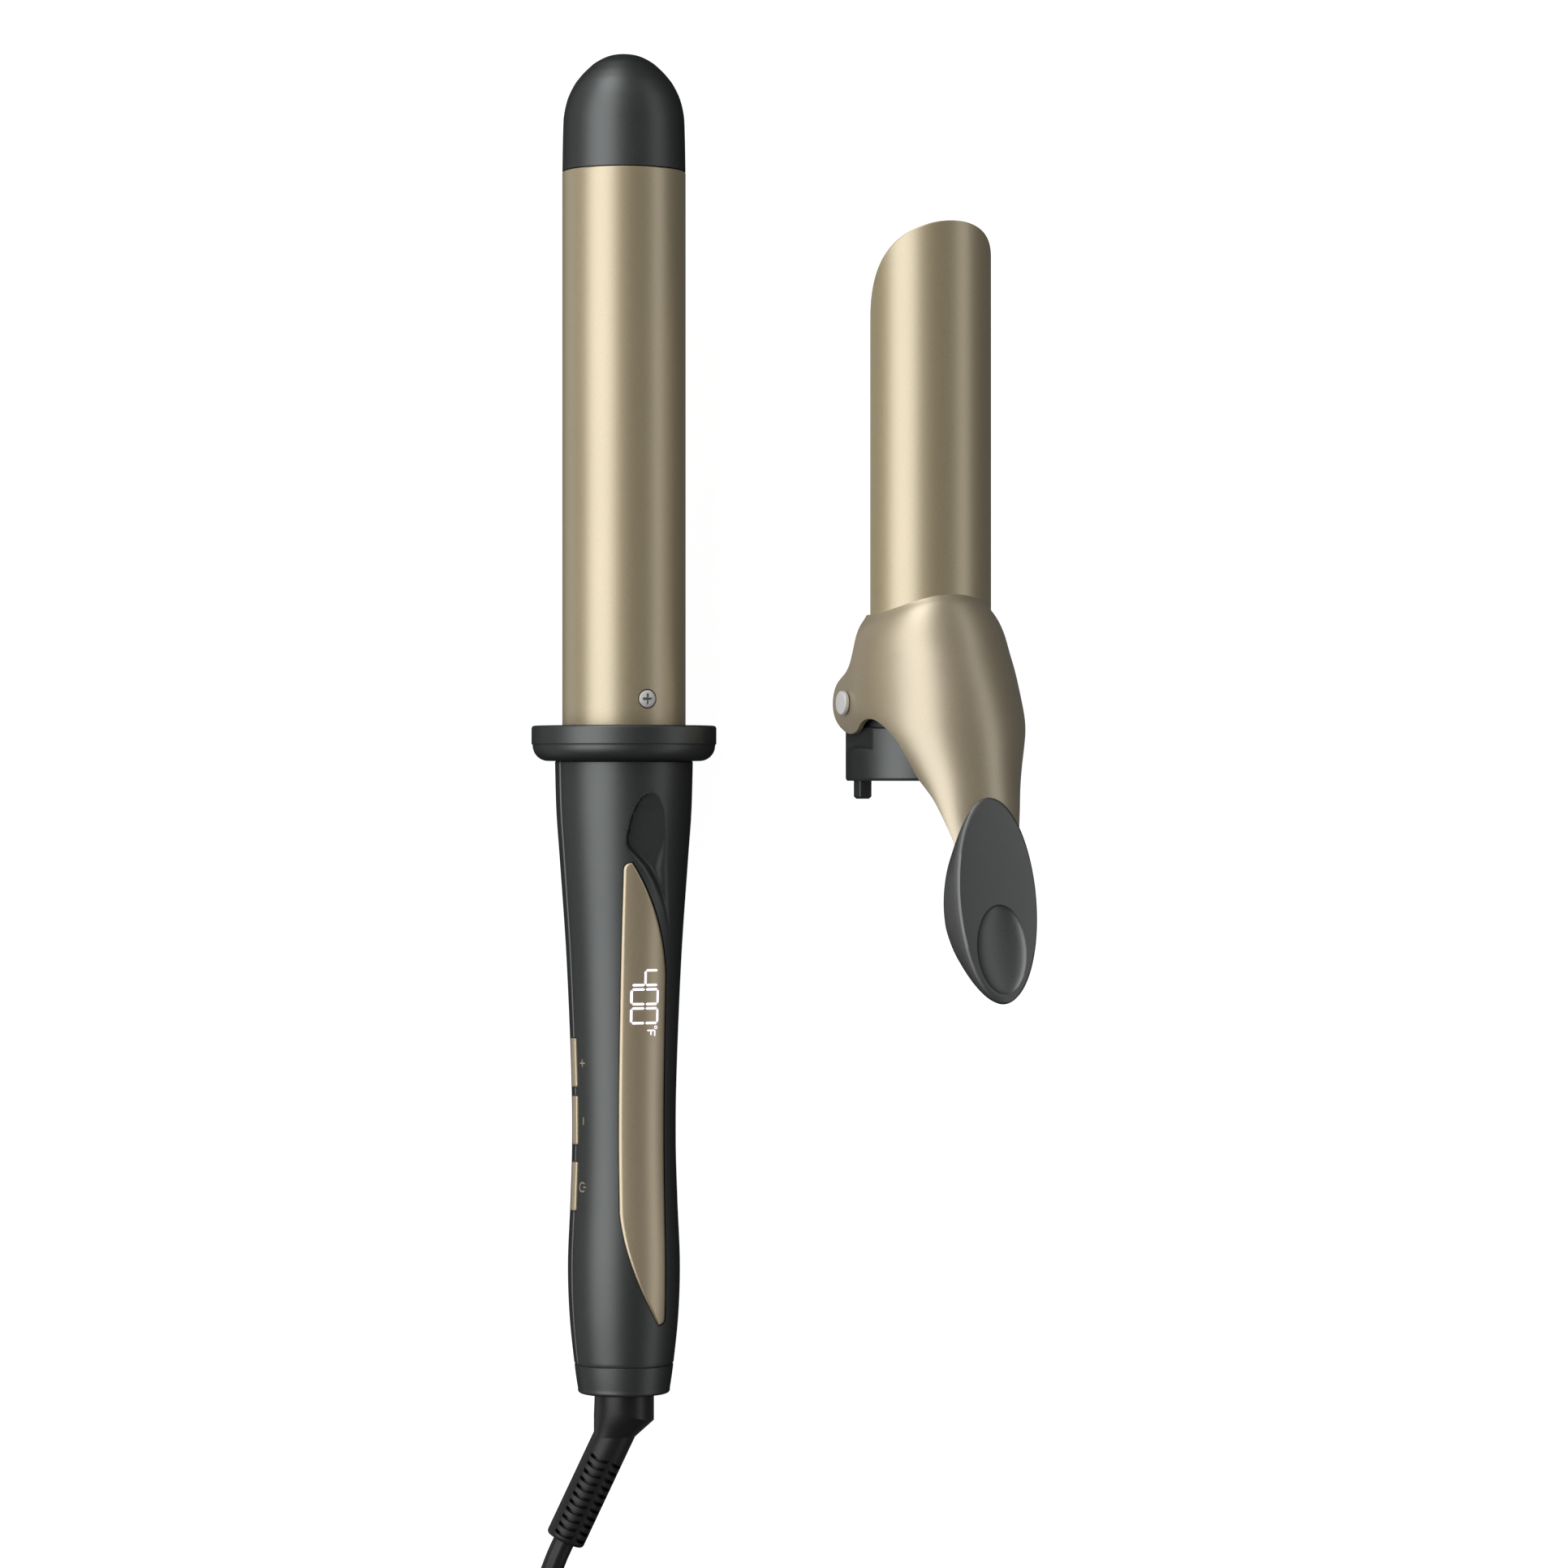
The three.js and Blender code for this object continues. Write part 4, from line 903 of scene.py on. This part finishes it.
def panel():
    """A curved plate with rounded edges, standing a hair proud of the handle."""
    outline = leaf()
    rows, columns = 420, 44
    top, bottom = outline[:, 1].max(), outline[:, 1].min()
    t = np.linspace(0, 1, rows)
    blend = 0.5 - 0.5 * np.cos(np.pi * t)
    y = top + (bottom - top) * (0.25 * blend + 0.75 * (t + 0.5 * (blend - t)))
    y[0], y[-1] = top - 0.004, bottom + 0.004
    a, b = outline, np.roll(outline, -1, 0)
    low_x, high_x = [], []
    for level in y:
        crossing = (a[:, 1] > level) != (b[:, 1] > level)
        share = (level - a[crossing, 1]) / (b[crossing, 1] - a[crossing, 1])
        x = a[crossing, 0] + share * (b[crossing, 0] - a[crossing, 0])
        low_x.append(x.min())
        high_x.append(x.max())
    low_x, high_x = np.array(low_x), np.array(high_x)
    v = 0.5 - 0.5 * np.cos(np.linspace(0, math.pi, columns))
    x = low_x[:, None] + (high_x - low_x)[:, None] * v
    grid = np.stack([x, np.broadcast_to(y[:, None], x.shape)], -1).reshape(-1, 2)
    distance = outline_distance(grid, outline)
    edge = 0.75
    drop = edge - np.sqrt(np.maximum(edge ** 2 - np.maximum(edge - distance, 0) ** 2, 0))
    height = panel_height(grid[:, 0], grid[:, 1]) + 0.12 - drop
    face = np.column_stack([grid, height])
    under = np.column_stack([grid, panel_height(grid[:, 0], grid[:, 1]) - 1.3])
    faces = quads(rows, columns)
    total = rows * columns
    faces += [[q[3] + total, q[2] + total, q[1] + total, q[0] + total] for q in quads(rows, columns)]
    rim = ([(i, i + 1) for i in range(columns - 1)]
           + [(i * columns + columns - 1, (i + 1) * columns + columns - 1) for i in range(rows - 1)]
           + [(total - 1 - i, total - 2 - i) for i in range(columns - 1)]
           + [((rows - 1 - i) * columns, (rows - 2 - i) * columns) for i in range(rows - 1)])
    faces += [[p, p + total, q + total, q] for p, q in rim]
    made = tidy(new_object("panel_plate", np.vstack([face, under]), faces, WAND))
    finish_piece(made, "wand", GOLD_TRIM, ["display_panel"], 40)


# ---------------------------------------------------------------- wand: display and button marks
def on_panel(x, y, lift):
    return np.column_stack([x, y, panel_height(np.asarray(x, float), np.asarray(y, float)) + 0.12 + lift])


def ribbon(name, line, half, height, surface):
    """A thin raised plate along a line in local X and Y, half giving half its width at each point."""
    line = np.asarray(line, float)
    way = np.gradient(line, axis=0)
    way /= np.linalg.norm(way, axis=1)[:, None]
    side = np.column_stack([-way[:, 1], way[:, 0]]) * np.asarray(half, float)[:, None]
    a, b = line + side, line - side
    low, high = -0.02, height
    rings = [surface(a[:, 0], a[:, 1], low), surface(b[:, 0], b[:, 1], low), surface(b[:, 0], b[:, 1], high),
             surface(line[:, 0], line[:, 1], high), surface(a[:, 0], a[:, 1], high)]
    return stack(name, np.stack(rings, 1), WAND)


def bar(name, start, end, stroke, height, surface):
    """A segment with mitred ends between two points."""
    start, end = np.array(start, float), np.array(end, float)
    length = np.linalg.norm(end - start)
    cut = stroke * 0.26
    run = np.concatenate([[cut, cut + stroke / 2], np.arange(cut + stroke, length - cut - stroke, 0.3),
                          [length - cut - stroke / 2, length - cut]])
    half = np.clip(np.minimum(run - cut, length - cut - run), 0.04, stroke / 2)
    return ribbon(name, start + (end - start) / length * run[:, None], half, height, surface)


def arc(name, centre, radius, stroke, gap, height, surface, steps=40):
    """A ring, or with a gap, an arc open towards +X."""
    angle = np.linspace(gap / 2, 2 * math.pi - gap / 2, steps)
    line = np.column_stack([centre[0] + radius * np.cos(angle), centre[1] + radius * np.sin(angle)])
    return ribbon(name, line, np.full(steps, stroke / 2), height, surface)


DIGITS = {"4": "bcfg", "0": "abcdef"}
DIGIT = {"height": 7.2, "width": 3.75, "stroke": 0.62, "pitch": 4.85, "first": -62.5, "centre": -0.05}


def display():
    """400 in seven-segment digits, tops towards +X, reading down the handle, and a small degree sign and F."""
    h, w = DIGIT["height"] / 2, DIGIT["width"]
    top, mid, low = DIGIT["centre"] + h, DIGIT["centre"], DIGIT["centre"] - h
    lift = 0.05
    parts = []
    for place, character in enumerate("400"):
        left = DIGIT["first"] - place * DIGIT["pitch"]
        right = left - w
        lines = {"a": ((top, left), (top, right)), "b": ((top, right), (mid, right)), "c": ((mid, right), (low, right)),
                 "d": ((low, left), (low, right)), "e": ((mid, left), (low, left)), "f": ((top, left), (mid, left)),
                 "g": ((mid, left), (mid, right))}
        parts += [bar("segment", *lines[k], DIGIT["stroke"], lift, on_panel) for k in DIGITS[character]]
    unit, stroke = DIGIT["first"] - 3 * DIGIT["pitch"] - 0.8, 0.34
    head = top - 0.7
    parts += [bar("letter", (head, unit), (head - 2.3, unit), stroke, lift, on_panel),
              bar("letter", (head, unit + 0.1), (head, unit - 1.6), stroke, lift, on_panel),
              bar("letter", (head - 1.1, unit), (head - 1.1, unit - 1.3), stroke, lift, on_panel),
              arc("degree", (head + 0.3, unit + 0.75), 0.36, 0.2, 0.02, lift, on_panel)]
    made = join(*parts)
    made.name = "display_digits"
    finish_piece(made, "wand", LED, angle=50)


def on_handle_side(u, y, lift):
    """u runs round the handle in millimetres from the -X side towards the front."""
    radius = handle_radius(y) + lift
    angle = math.pi + 0 * np.asarray(u, float) - np.asarray(u, float) / handle_radius(y)
    return np.column_stack([radius * np.cos(angle), y, radius * np.sin(angle)])


LABEL_U, LABEL_SIZE, LABEL_STROKE = 3.95, 1.15, 0.36


def marks():
    """Plus, minus and power signs beside the buttons."""
    size, stroke, lift = LABEL_SIZE, LABEL_STROKE, 0.03
    parts = []

    def line(start, end):
        parts.append(bar("mark", start, end, stroke, lift, on_handle_side))

    for y in (BUTTONS["high"], BUTTONS["low"]):
        line((LABEL_U, y - size), (LABEL_U, y + size))
    line((LABEL_U - size, BUTTONS["high"]), (LABEL_U + size, BUTTONS["high"]))
    y = BUTTONS["power"]
    parts.append(arc("mark", (LABEL_U, y), size, stroke, 1.5, lift, on_handle_side))
    line((LABEL_U + 0.2, y), (LABEL_U + size + 0.4, y))
    made = join(*parts)
    made.name = "button_marks"
    finish_piece(made, "wand", GOLD, angle=50)


def buttons():
    for name, y in BUTTONS.items():
        surface = float(handle_radius(y))
        rings = []
        levels = [(surface - 2.6, 0), (surface + BUTTON["proud"] - 0.42, 0), (surface + BUTTON["proud"] - 0.2, 0.07),
                  (surface + BUTTON["proud"] - 0.06, 0.2), (surface + BUTTON["proud"], 0.42),
                  (surface + BUTTON["proud"] + 0.02, 0.9)]
        for radius, inset in levels:
            outline = button_outline(BUTTON["length"] / 2 - inset, BUTTON["width"] / 2 - inset, max(0.62 - inset, 0.08))
            drop = surface - np.sqrt(surface ** 2 - outline[:, 1] ** 2)
            bow = surface - handle_radius(outline[:, 0] + y)
            rings.append(np.stack([-(radius - drop - bow), outline[:, 0] + y, outline[:, 1]], -1))
        made = stack(f"button_{name}_cap", rings, WAND)
        finish_piece(made, f"button_{name}", GOLD_TRIM, [f"button_{name}"])


def handle_screws():
    for name, y in HANDLE_SCREWS.items():
        place = Place((0, 0, 0), 0)
        place.matrix = WAND.matrix @ Matrix.Translation((0, y * MM, 0)) @ Matrix.Rotation(-math.pi / 2, 4, "X")
        profile = fillet([(0, 7, 0), (1.25, 7, 0), (1.25, 9.4, 0), (2.5, 9.4, 0.1), (2.5, 11.2, 0.5), (0, 11.6, 0)],
                         closed=False)
        made = lathe(f"handle_screw_{name}_pan", profile, place, 56, closed=False)
        for x, z in ((0.3, 1.4), (1.4, 0.3)):
            boolean(made, box_object("recess", (-x, x), (10.5, 13), (-z, z), place))
        finish_piece(made, "wand", STEEL, [f"handle_screw_{name}"])


barrel()
cap()
barrel_screw("barrel_screw_front", 1)
barrel_screw("barrel_screw_rear", -1)
disc()
shells()
end_cap()
panel()
display()
marks()
buttons()
handle_screws()


# ---------------------------------------------------------------- cord swivel and strain relief
BOOT = Place((0, 0, 0), 0)
# The boot's own frame: its axis runs along -Y from the bend, its front rolled with the handle.
BOOT.matrix = (SWIVEL.matrix @ Matrix.Translation((0, NECK["bend"] * MM, 0))
               @ Matrix.Rotation(-RELIEF["angle"], 4, "Z") @ Matrix.Rotation(TURN, 4, "Y"))


def neck():
    """A round neck whose lower end tapers to the boot on the boot's own axis."""
    r, top = NECK["radius"], NECK["top"]
    profile = fillet([(0, top, 0), (r, top, 0.2), (r, top - 1.5, 0), (NECK["flange"], top - 1.5, 0.2),
                      (NECK["flange"], top - 5.5, 0.2), (r, top - 5.5, 0), (r, NECK["low"], 0), (0, NECK["low"], 0)],
                     closed=False)
    made = lathe("swivel_neck_moulding", profile, SWIVEL, 128, closed=False)
    cone = [[0, 24], [6 + math.tan(math.radians(23)) * 27.8, 24], [6, -3.8], [4.5, -8.4], [0, -8.4]]
    aside = Place((0, 0, 0), 0)
    aside.matrix = BOOT.matrix @ Matrix.Rotation(-TURN, 4, "Y") @ Matrix.Translation((-0.8 * MM, 0, 0))
    boolean(made, lathe("cone", np.array(cone), aside, 128, closed=False), "INTERSECT")
    boolean(made, lathe("socket", np.array([[0, 2], [3, 2], [RELIEF["radius"] + 0.05, 0], [RELIEF["radius"] + 0.05, -12],
                                            [0, -12]]), BOOT, 96, closed=False))
    finish_piece(made, "swivel", BLACK, ["swivel_neck"], 28)


SLOTS = {"first": 12.4, "pitch": 2.14, "count": 11, "width": 0.95, "depth": 1.5, "bow": 0.45}
SLOT_ARCS = [(-65, -4), (5, 66), (114, 176), (184, 246)]


def ring_sector(start, stop, along, inner, outer, width, bow):
    """A curved slot cutter: part of a ring about the boot's axis."""
    steps = 14
    angle = np.radians(np.linspace(start, stop, steps))
    offset = bow * (1 - np.linspace(-1, 1, steps) ** 2)
    rings = []
    for a, shift in zip(angle, offset):
        y = -(along + shift)
        rings.append([[r * math.sin(a), y + w, r * math.cos(a)]
                      for r, w in ((inner, width / 2), (outer, width / 2), (outer, -width / 2), (inner, -width / 2))])
    return stack("slot", rings, BOOT)


def boot():
    r, length = RELIEF["radius"], RELIEF["length"]
    profile = refine(fillet([(0, 0.3, 0), (3.6, 0.3, 0.3), (r, -1.5, 0.5), (r, -length, 2.6), (3.0, -length, 0.1),
                             (2.9, -length + 1.5, 0), (0, -length + 1.5, 0)], closed=False, steps=8), 1.2, False)
    made = lathe("boot_moulding", profile, BOOT, 96, closed=False)
    for start, stop in SLOT_ARCS:
        for k in range(SLOTS["count"]):
            along = SLOTS["first"] + SLOTS["pitch"] * k
            boolean(made, ring_sector(start, stop, along, r - SLOTS["depth"], r + 1, SLOTS["width"], SLOTS["bow"]))
    finish_piece(made, "swivel", RUBBER, ["cord_strain_relief"])


neck()
boot()


# ---------------------------------------------------------------- clip: collar, pins, spoon
PEG_X, PEG_DROP, PEG = 18.2, 4.6, 1.7


def collar():
    c = COLLAR
    ring = fillet([(c["bore"], 0, 0.3), (c["skirt"] - 0.35, 0, 0.25), (c["skirt"], 0.7, 0.2), (c["skirt"], c["skirt_top"], 0.5),
                   (c["radius"], c["skirt_top"] + 1.5, 0.6), (c["radius"], c["height"], 0.4), (c["bore"], c["height"], 0.3)])
    made = lathe("collar_moulding", refine(ring, 2.5), CLIP, 192)
    low = c["low_skirt"]
    skirt = fillet([(c["bore"], 1, 0.2), (c["skirt"], 1, 0.2), (c["skirt"], low, 0.5), (c["bore"], low, 0.2)])
    skirt = lathe("skirt", refine(skirt, 2.5), CLIP, 192)
    boolean(skirt, box_object("half", (-c["flat"], c["flat"]), (2, low + 1), (-25, 25), CLIP), "INTERSECT")
    boolean(made, skirt, "UNION")
    for side in (-1, 1):
        outline = fillet([(side * PEG_X - PEG, -2, 0.3), (side * PEG_X + PEG, -2, 0.3), (side * PEG_X + PEG, 2, 0.3),
                          (side * PEG_X - PEG, 2, 0.3)], steps=4)
        centre = np.array([side * PEG_X, 0])
        rings = []
        for y, scale in ((1.5, 1), (0.6 - PEG_DROP, 1), (-PEG_DROP, 0.72)):
            scaled = centre + (outline - centre) * scale
            rings.append(np.stack([scaled[:, 0], np.full(len(outline), y), scaled[:, 1]], -1))
        boolean(made, stack("peg", rings, CLIP), "UNION")
        boolean(made, rod("boss", (side * 17, PIVOT_Y, PIVOT_Z), (side * 20.0, PIVOT_Y, PIVOT_Z), 3.6, CLIP, 64), "UNION")
    boolean(made, rod("bore", (-30, PIVOT_Y, PIVOT_Z), (30, PIVOT_Y, PIVOT_Z), 1.9, CLIP))
    boolean(made, rod("bore", (0, -9, 0), (0, 40, 0), c["bore"], CLIP, 192))
    finish_piece(made, "clip_base", GRAPHITE, ["clip_collar"])


def pins():
    for name, side in (("left", -1), ("right", 1)):
        place = Place((0, 0, 0), 0)
        place.matrix = (CLIP.matrix @ Matrix.Translation((0, PIVOT_Y * MM, PIVOT_Z * MM))
                        @ Matrix.Rotation(-side * math.pi / 2, 4, "Z"))
        profile = fillet([(0, 17.2, 0), (1.6, 17.2, 0.2), (1.6, 22.25, 0), (3.1, 22.25, 0.15), (3.1, 23.4, 0.45), (0, 23.5, 0)],
                         closed=False)
        made = lathe(f"pivot_pin_{name}_turned", refine(profile, 0.6, False), place, 80, closed=False)
        finish_piece(made, "clip_base", SCREW_STEEL, [f"pivot_pin_{name}"])


def spoon():
    """A thin curved plate whose end is a rounded tongue."""
    rows, columns = 180, 121
    t = np.linspace(-1, 1, columns)
    angle = SPOON["half_angle"] * np.sin(t * math.pi / 2) * 1.0
    share = angle / SPOON["half_angle"]
    end = SPOON["top"] - SPOON["tip"] * (1 - np.sqrt(np.maximum(0, 1 - share ** 2 * 0.999)))
    u = 1 - (1 - np.linspace(0, 1, rows)) ** 1.6
    middle_radius = (SPOON["inner"] + SPOON["outer"]) / 2
    half = (SPOON["outer"] - SPOON["inner"]) / 2
    y = SPOON["foot"] + (end - SPOON["foot"])[None] * u[:, None]
    grid = np.stack([np.broadcast_to(angle * middle_radius, y.shape), y], -1).reshape(-1, 2)
    side_y = np.linspace(SPOON["foot"], end[-1], 60)
    edge_line = np.vstack([np.column_stack([np.full(60, -SPOON["half_angle"] * middle_radius), side_y]),
                           np.column_stack([angle * middle_radius, end]),
                           np.column_stack([np.full(60, SPOON["half_angle"] * middle_radius), side_y[::-1]])])
    distance = outline_distance(grid, edge_line).reshape(y.shape)
    thin = half * np.sqrt(np.clip(1 - (1 - np.clip(distance / (half * 0.9), 0, 1)) ** 2, 0.02, 1))
    points = []
    for sign in (1, -1):
        radius = middle_radius + sign * thin
        points.append(np.stack([radius * np.sin(angle), y, radius * np.cos(angle)], -1).reshape(-1, 3))
    total = rows * columns
    faces = quads(rows, columns)
    faces += [[q[3] + total, q[2] + total, q[1] + total, q[0] + total] for q in quads(rows, columns)]
    rim = ([(i, i + 1) for i in range(columns - 1)]
           + [(i * columns + columns - 1, (i + 1) * columns + columns - 1) for i in range(rows - 1)]
           + [(total - 1 - i, total - 2 - i) for i in range(columns - 1)]
           + [((rows - 1 - i) * columns, (rows - 2 - i) * columns) for i in range(rows - 1)])
    faces += [[p, p + total, q + total, q] for p, q in rim]
    made = tidy(new_object("spoon_blade", np.vstack(points), faces, CLIP))
    finish_piece(made, "clip_lever", GOLD, ["clamp_spoon"], 50)


# ---------------------------------------------------------------- clip: hood
# Hood stations, [y, half width, height of the ridge, height of the widest line].
HOOD = [[47.6, 16.66, 16.66, -1.0], [46.9, 17.1, 17.4, -1.0], [45.6, 17.9, 18.7, -1.0], [43, 18.95, 20.4, -1.0],
        [39.2, 19.9, 22.4, -1.0], [33.4, 20.8, 25.1, -1.0], [29.2, 21.4, 27.1, -0.4], [23.4, 21.9, 29.6, 1.2],
        [17.1, 21.9, 31.8, 4.6], [13, 20.9, 33, 8.4], [8.8, 18.9, 34, 13.0], [3.6, 16.2, 35, 18.6], [-1.7, 13.9, 36, 23.6],
        [-7.9, 11.9, 37, 28.4], [-16.3, 9.6, 38.4, 33.0], [-22, 8.0, 39, 35.4], [-34, 6, 40, 37.2]]
HOOD_SHEET = 1.2
# Side outline of the hood in local Y and Z, from its tail round the arch and the ear to the spoon.
HOOD_EDGE = [[-40, 38.2], [-21, 36.4], [-6.8, 30.6], [0.5, 25], [5.4, 22.6], [9.6, 20.4], [12.6, 17.8], [14.6, 15],
             [15.7, 11.8], [15.6, 8.8], [14.6, 5.8], [13.2, 3], [12.3, 0], [12.1, -3], [12.8, -5.6], [14.5, -8],
             [17, -9.6], [20, -10.2], [22.8, -9.6], [25, -8], [26.5, -5.6], [27.9, -3.2], [30, -1.5], [33.5, -0.9],
             [38, -0.8], [43, -0.9], [54, -1.0]]


def hood_grid(offset, stations):
    """Rows of points round the hood: a straight side, half an ellipse, and the other side."""
    y, width, ridge, edge = stations.T
    wall = np.linspace(-17, 0, 18)[:-1]
    arc = np.linspace(-math.pi / 2, math.pi / 2, 141)
    rows = []
    for yy, w, r, e in zip(y, width, ridge, edge):
        w, r = w - offset, r - offset
        side = e + wall
        back = 5.0 * max(0.0, min(1.0, (yy - 26) / 20)) ** 1.5
        xs = np.concatenate([np.full(len(side), -w), w * np.sin(arc), np.full(len(side), w)])
        zs = np.concatenate([side, e + (r - e) * np.cos(arc), side[::-1]])
        ys = np.full(len(xs), yy) - back * np.clip(np.abs(xs) / w, 0, 1) ** 2
        rows.append(np.stack([xs, ys, zs], -1))
    return np.array(rows)


def hood():
    stations = spline(HOOD, 14)
    outer, inner = hood_grid(0, stations), hood_grid(HOOD_SHEET, stations)
    rows, columns = outer.shape[:2]
    total = rows * columns
    faces = quads(rows, columns)
    faces += [[q[3] + total, q[2] + total, q[1] + total, q[0] + total] for q in quads(rows, columns)]
    rim = ([(i, i + 1) for i in range(columns - 1)]
           + [(i * columns + columns - 1, (i + 1) * columns + columns - 1) for i in range(rows - 1)]
           + [(total - 1 - i, total - 2 - i) for i in range(columns - 1)]
           + [((rows - 1 - i) * columns, (rows - 2 - i) * columns) for i in range(rows - 1)])
    faces += [[p, p + total, q + total, q] for p, q in rim]
    made = tidy(new_object("hood_pressing", np.vstack([outer.reshape(-1, 3), inner.reshape(-1, 3)]), faces, CLIP))
    edge = spline(HOOD_EDGE, 10)
    outline = np.vstack([edge, [[56, -30], [-45, -30]]])
    boolean(made, prism("below", outline, (1, 2), -30, 30, CLIP))
    boolean(made, rod("under_spoon", (0, 36, 0), (0, 60, 0), SPOON["outer"] + 0.02, CLIP, 160))
    finish_piece(made, "clip_lever", GOLD_HOOD, ["clamp_hood"], 40)


# ---------------------------------------------------------------- clip: thumb pad
def pad():
    place = Place((0, 0, 0), 0)
    place.matrix = CLIP.matrix @ Matrix.Translation((0, PAD["top_y"] * MM, PAD["top_z"] * MM)) @ Matrix.Rotation(
        -PAD["slope"], 4, "X")
    sides = 160
    angle = np.linspace(0, 2 * math.pi, sides, endpoint=False)
    half_l, half_w = PAD["length"] / 2, PAD["half_width"]
    belly = 0.45 + 0.55 * np.minimum(1, (1 - np.sin(angle)) / 1.3)

    def ring(shrink, drop, level=0.0, wide=None):
        return np.stack([half_w * (wide or shrink) * np.cos(angle), -half_l + half_l * shrink * np.sin(angle),
                         -drop - PAD["depth"] * level * belly], -1)

    crown = [(0.02, 0.0), (0.3, 0.04), (0.55, 0.12), (0.75, 0.22), (0.88, 0.32), (0.945, 0.40)]
    rings = [ring(s, d - 0.1) for s, d in crown]
    rings += [ring(0.953, 0.31), ring(0.985, 0.66), ring(0.993, 0.76), ring(1.0, 0.95)]
    for level in np.concatenate([np.linspace(0.1, 0.7, 8), np.linspace(0.74, 1, 12)]):
        wide = 1 + PAD["flare"] * min(1, level / 0.7) ** 0.8
        if level > 0.7:
            wide *= math.sqrt(1 - 0.85 * ((level - 0.7) / 0.3) ** 2)
        rings.append(ring(math.sqrt(1 - (0.86 * level) ** 2) + 0.012 * (1 - level), 0.9 * (1 - level), level, wide))
    made = stack("pad_moulding", rings, place)
    u, v = np.meshgrid(np.linspace(0, 2 * math.pi, 96, endpoint=False), np.linspace(0.02, math.pi - 0.02, 48))
    ball = np.stack([DIMPLE["half_width"] * np.cos(u) * np.sin(v),
                     DIMPLE["half_length"] * np.sin(u) * np.sin(v) - DIMPLE["from_top"],
                     DIMPLE["depth"] * np.cos(v) + 0.15], -1)
    boolean(made, stack("dimple", ball, place))
    # The pad takes the lighter copy of the graphite paint: painted light on its top face.
    finish_piece(made, "clip_lever", PAINTED_LIGHT_PAD_GRAPHITE, ["thumb_pad"], 36)


collar()
pins()
spoon()
hood()
pad()


# ---------------------------------------------------------------- carried-over nodes
def inner_materials():
    plain = {
        "ceramic": moulded_plastic("ceramic_body", (0.68, 0.65, 0.58), 0.7, contrast=0.08),
        "aluminium": brushed_metal("cast_aluminium", (0.62, 0.63, 0.65), 0.45),
        "circuit_board": moulded_plastic("board_green", (0.02, 0.10, 0.045), 0.5, contrast=0.3),
        "copper_wire": brushed_metal("copper_wire", (0.62, 0.30, 0.14), 0.35),
        "steel": STEEL, "black_plastic": BLACK, "black_rubber": RUBBER, "graphite_plastic": GRAPHITE,
        "gold_metal": GOLD, "gold_trim": GOLD_TRIM,
    }
    for row in frame["record"]["subparts"]:
        made = frame["nodes"][row["node"]]
        if not made.hide_render:
            made.data.materials.clear()
            made.data.materials.append(plain[row["material_slot"]])


inner_materials()
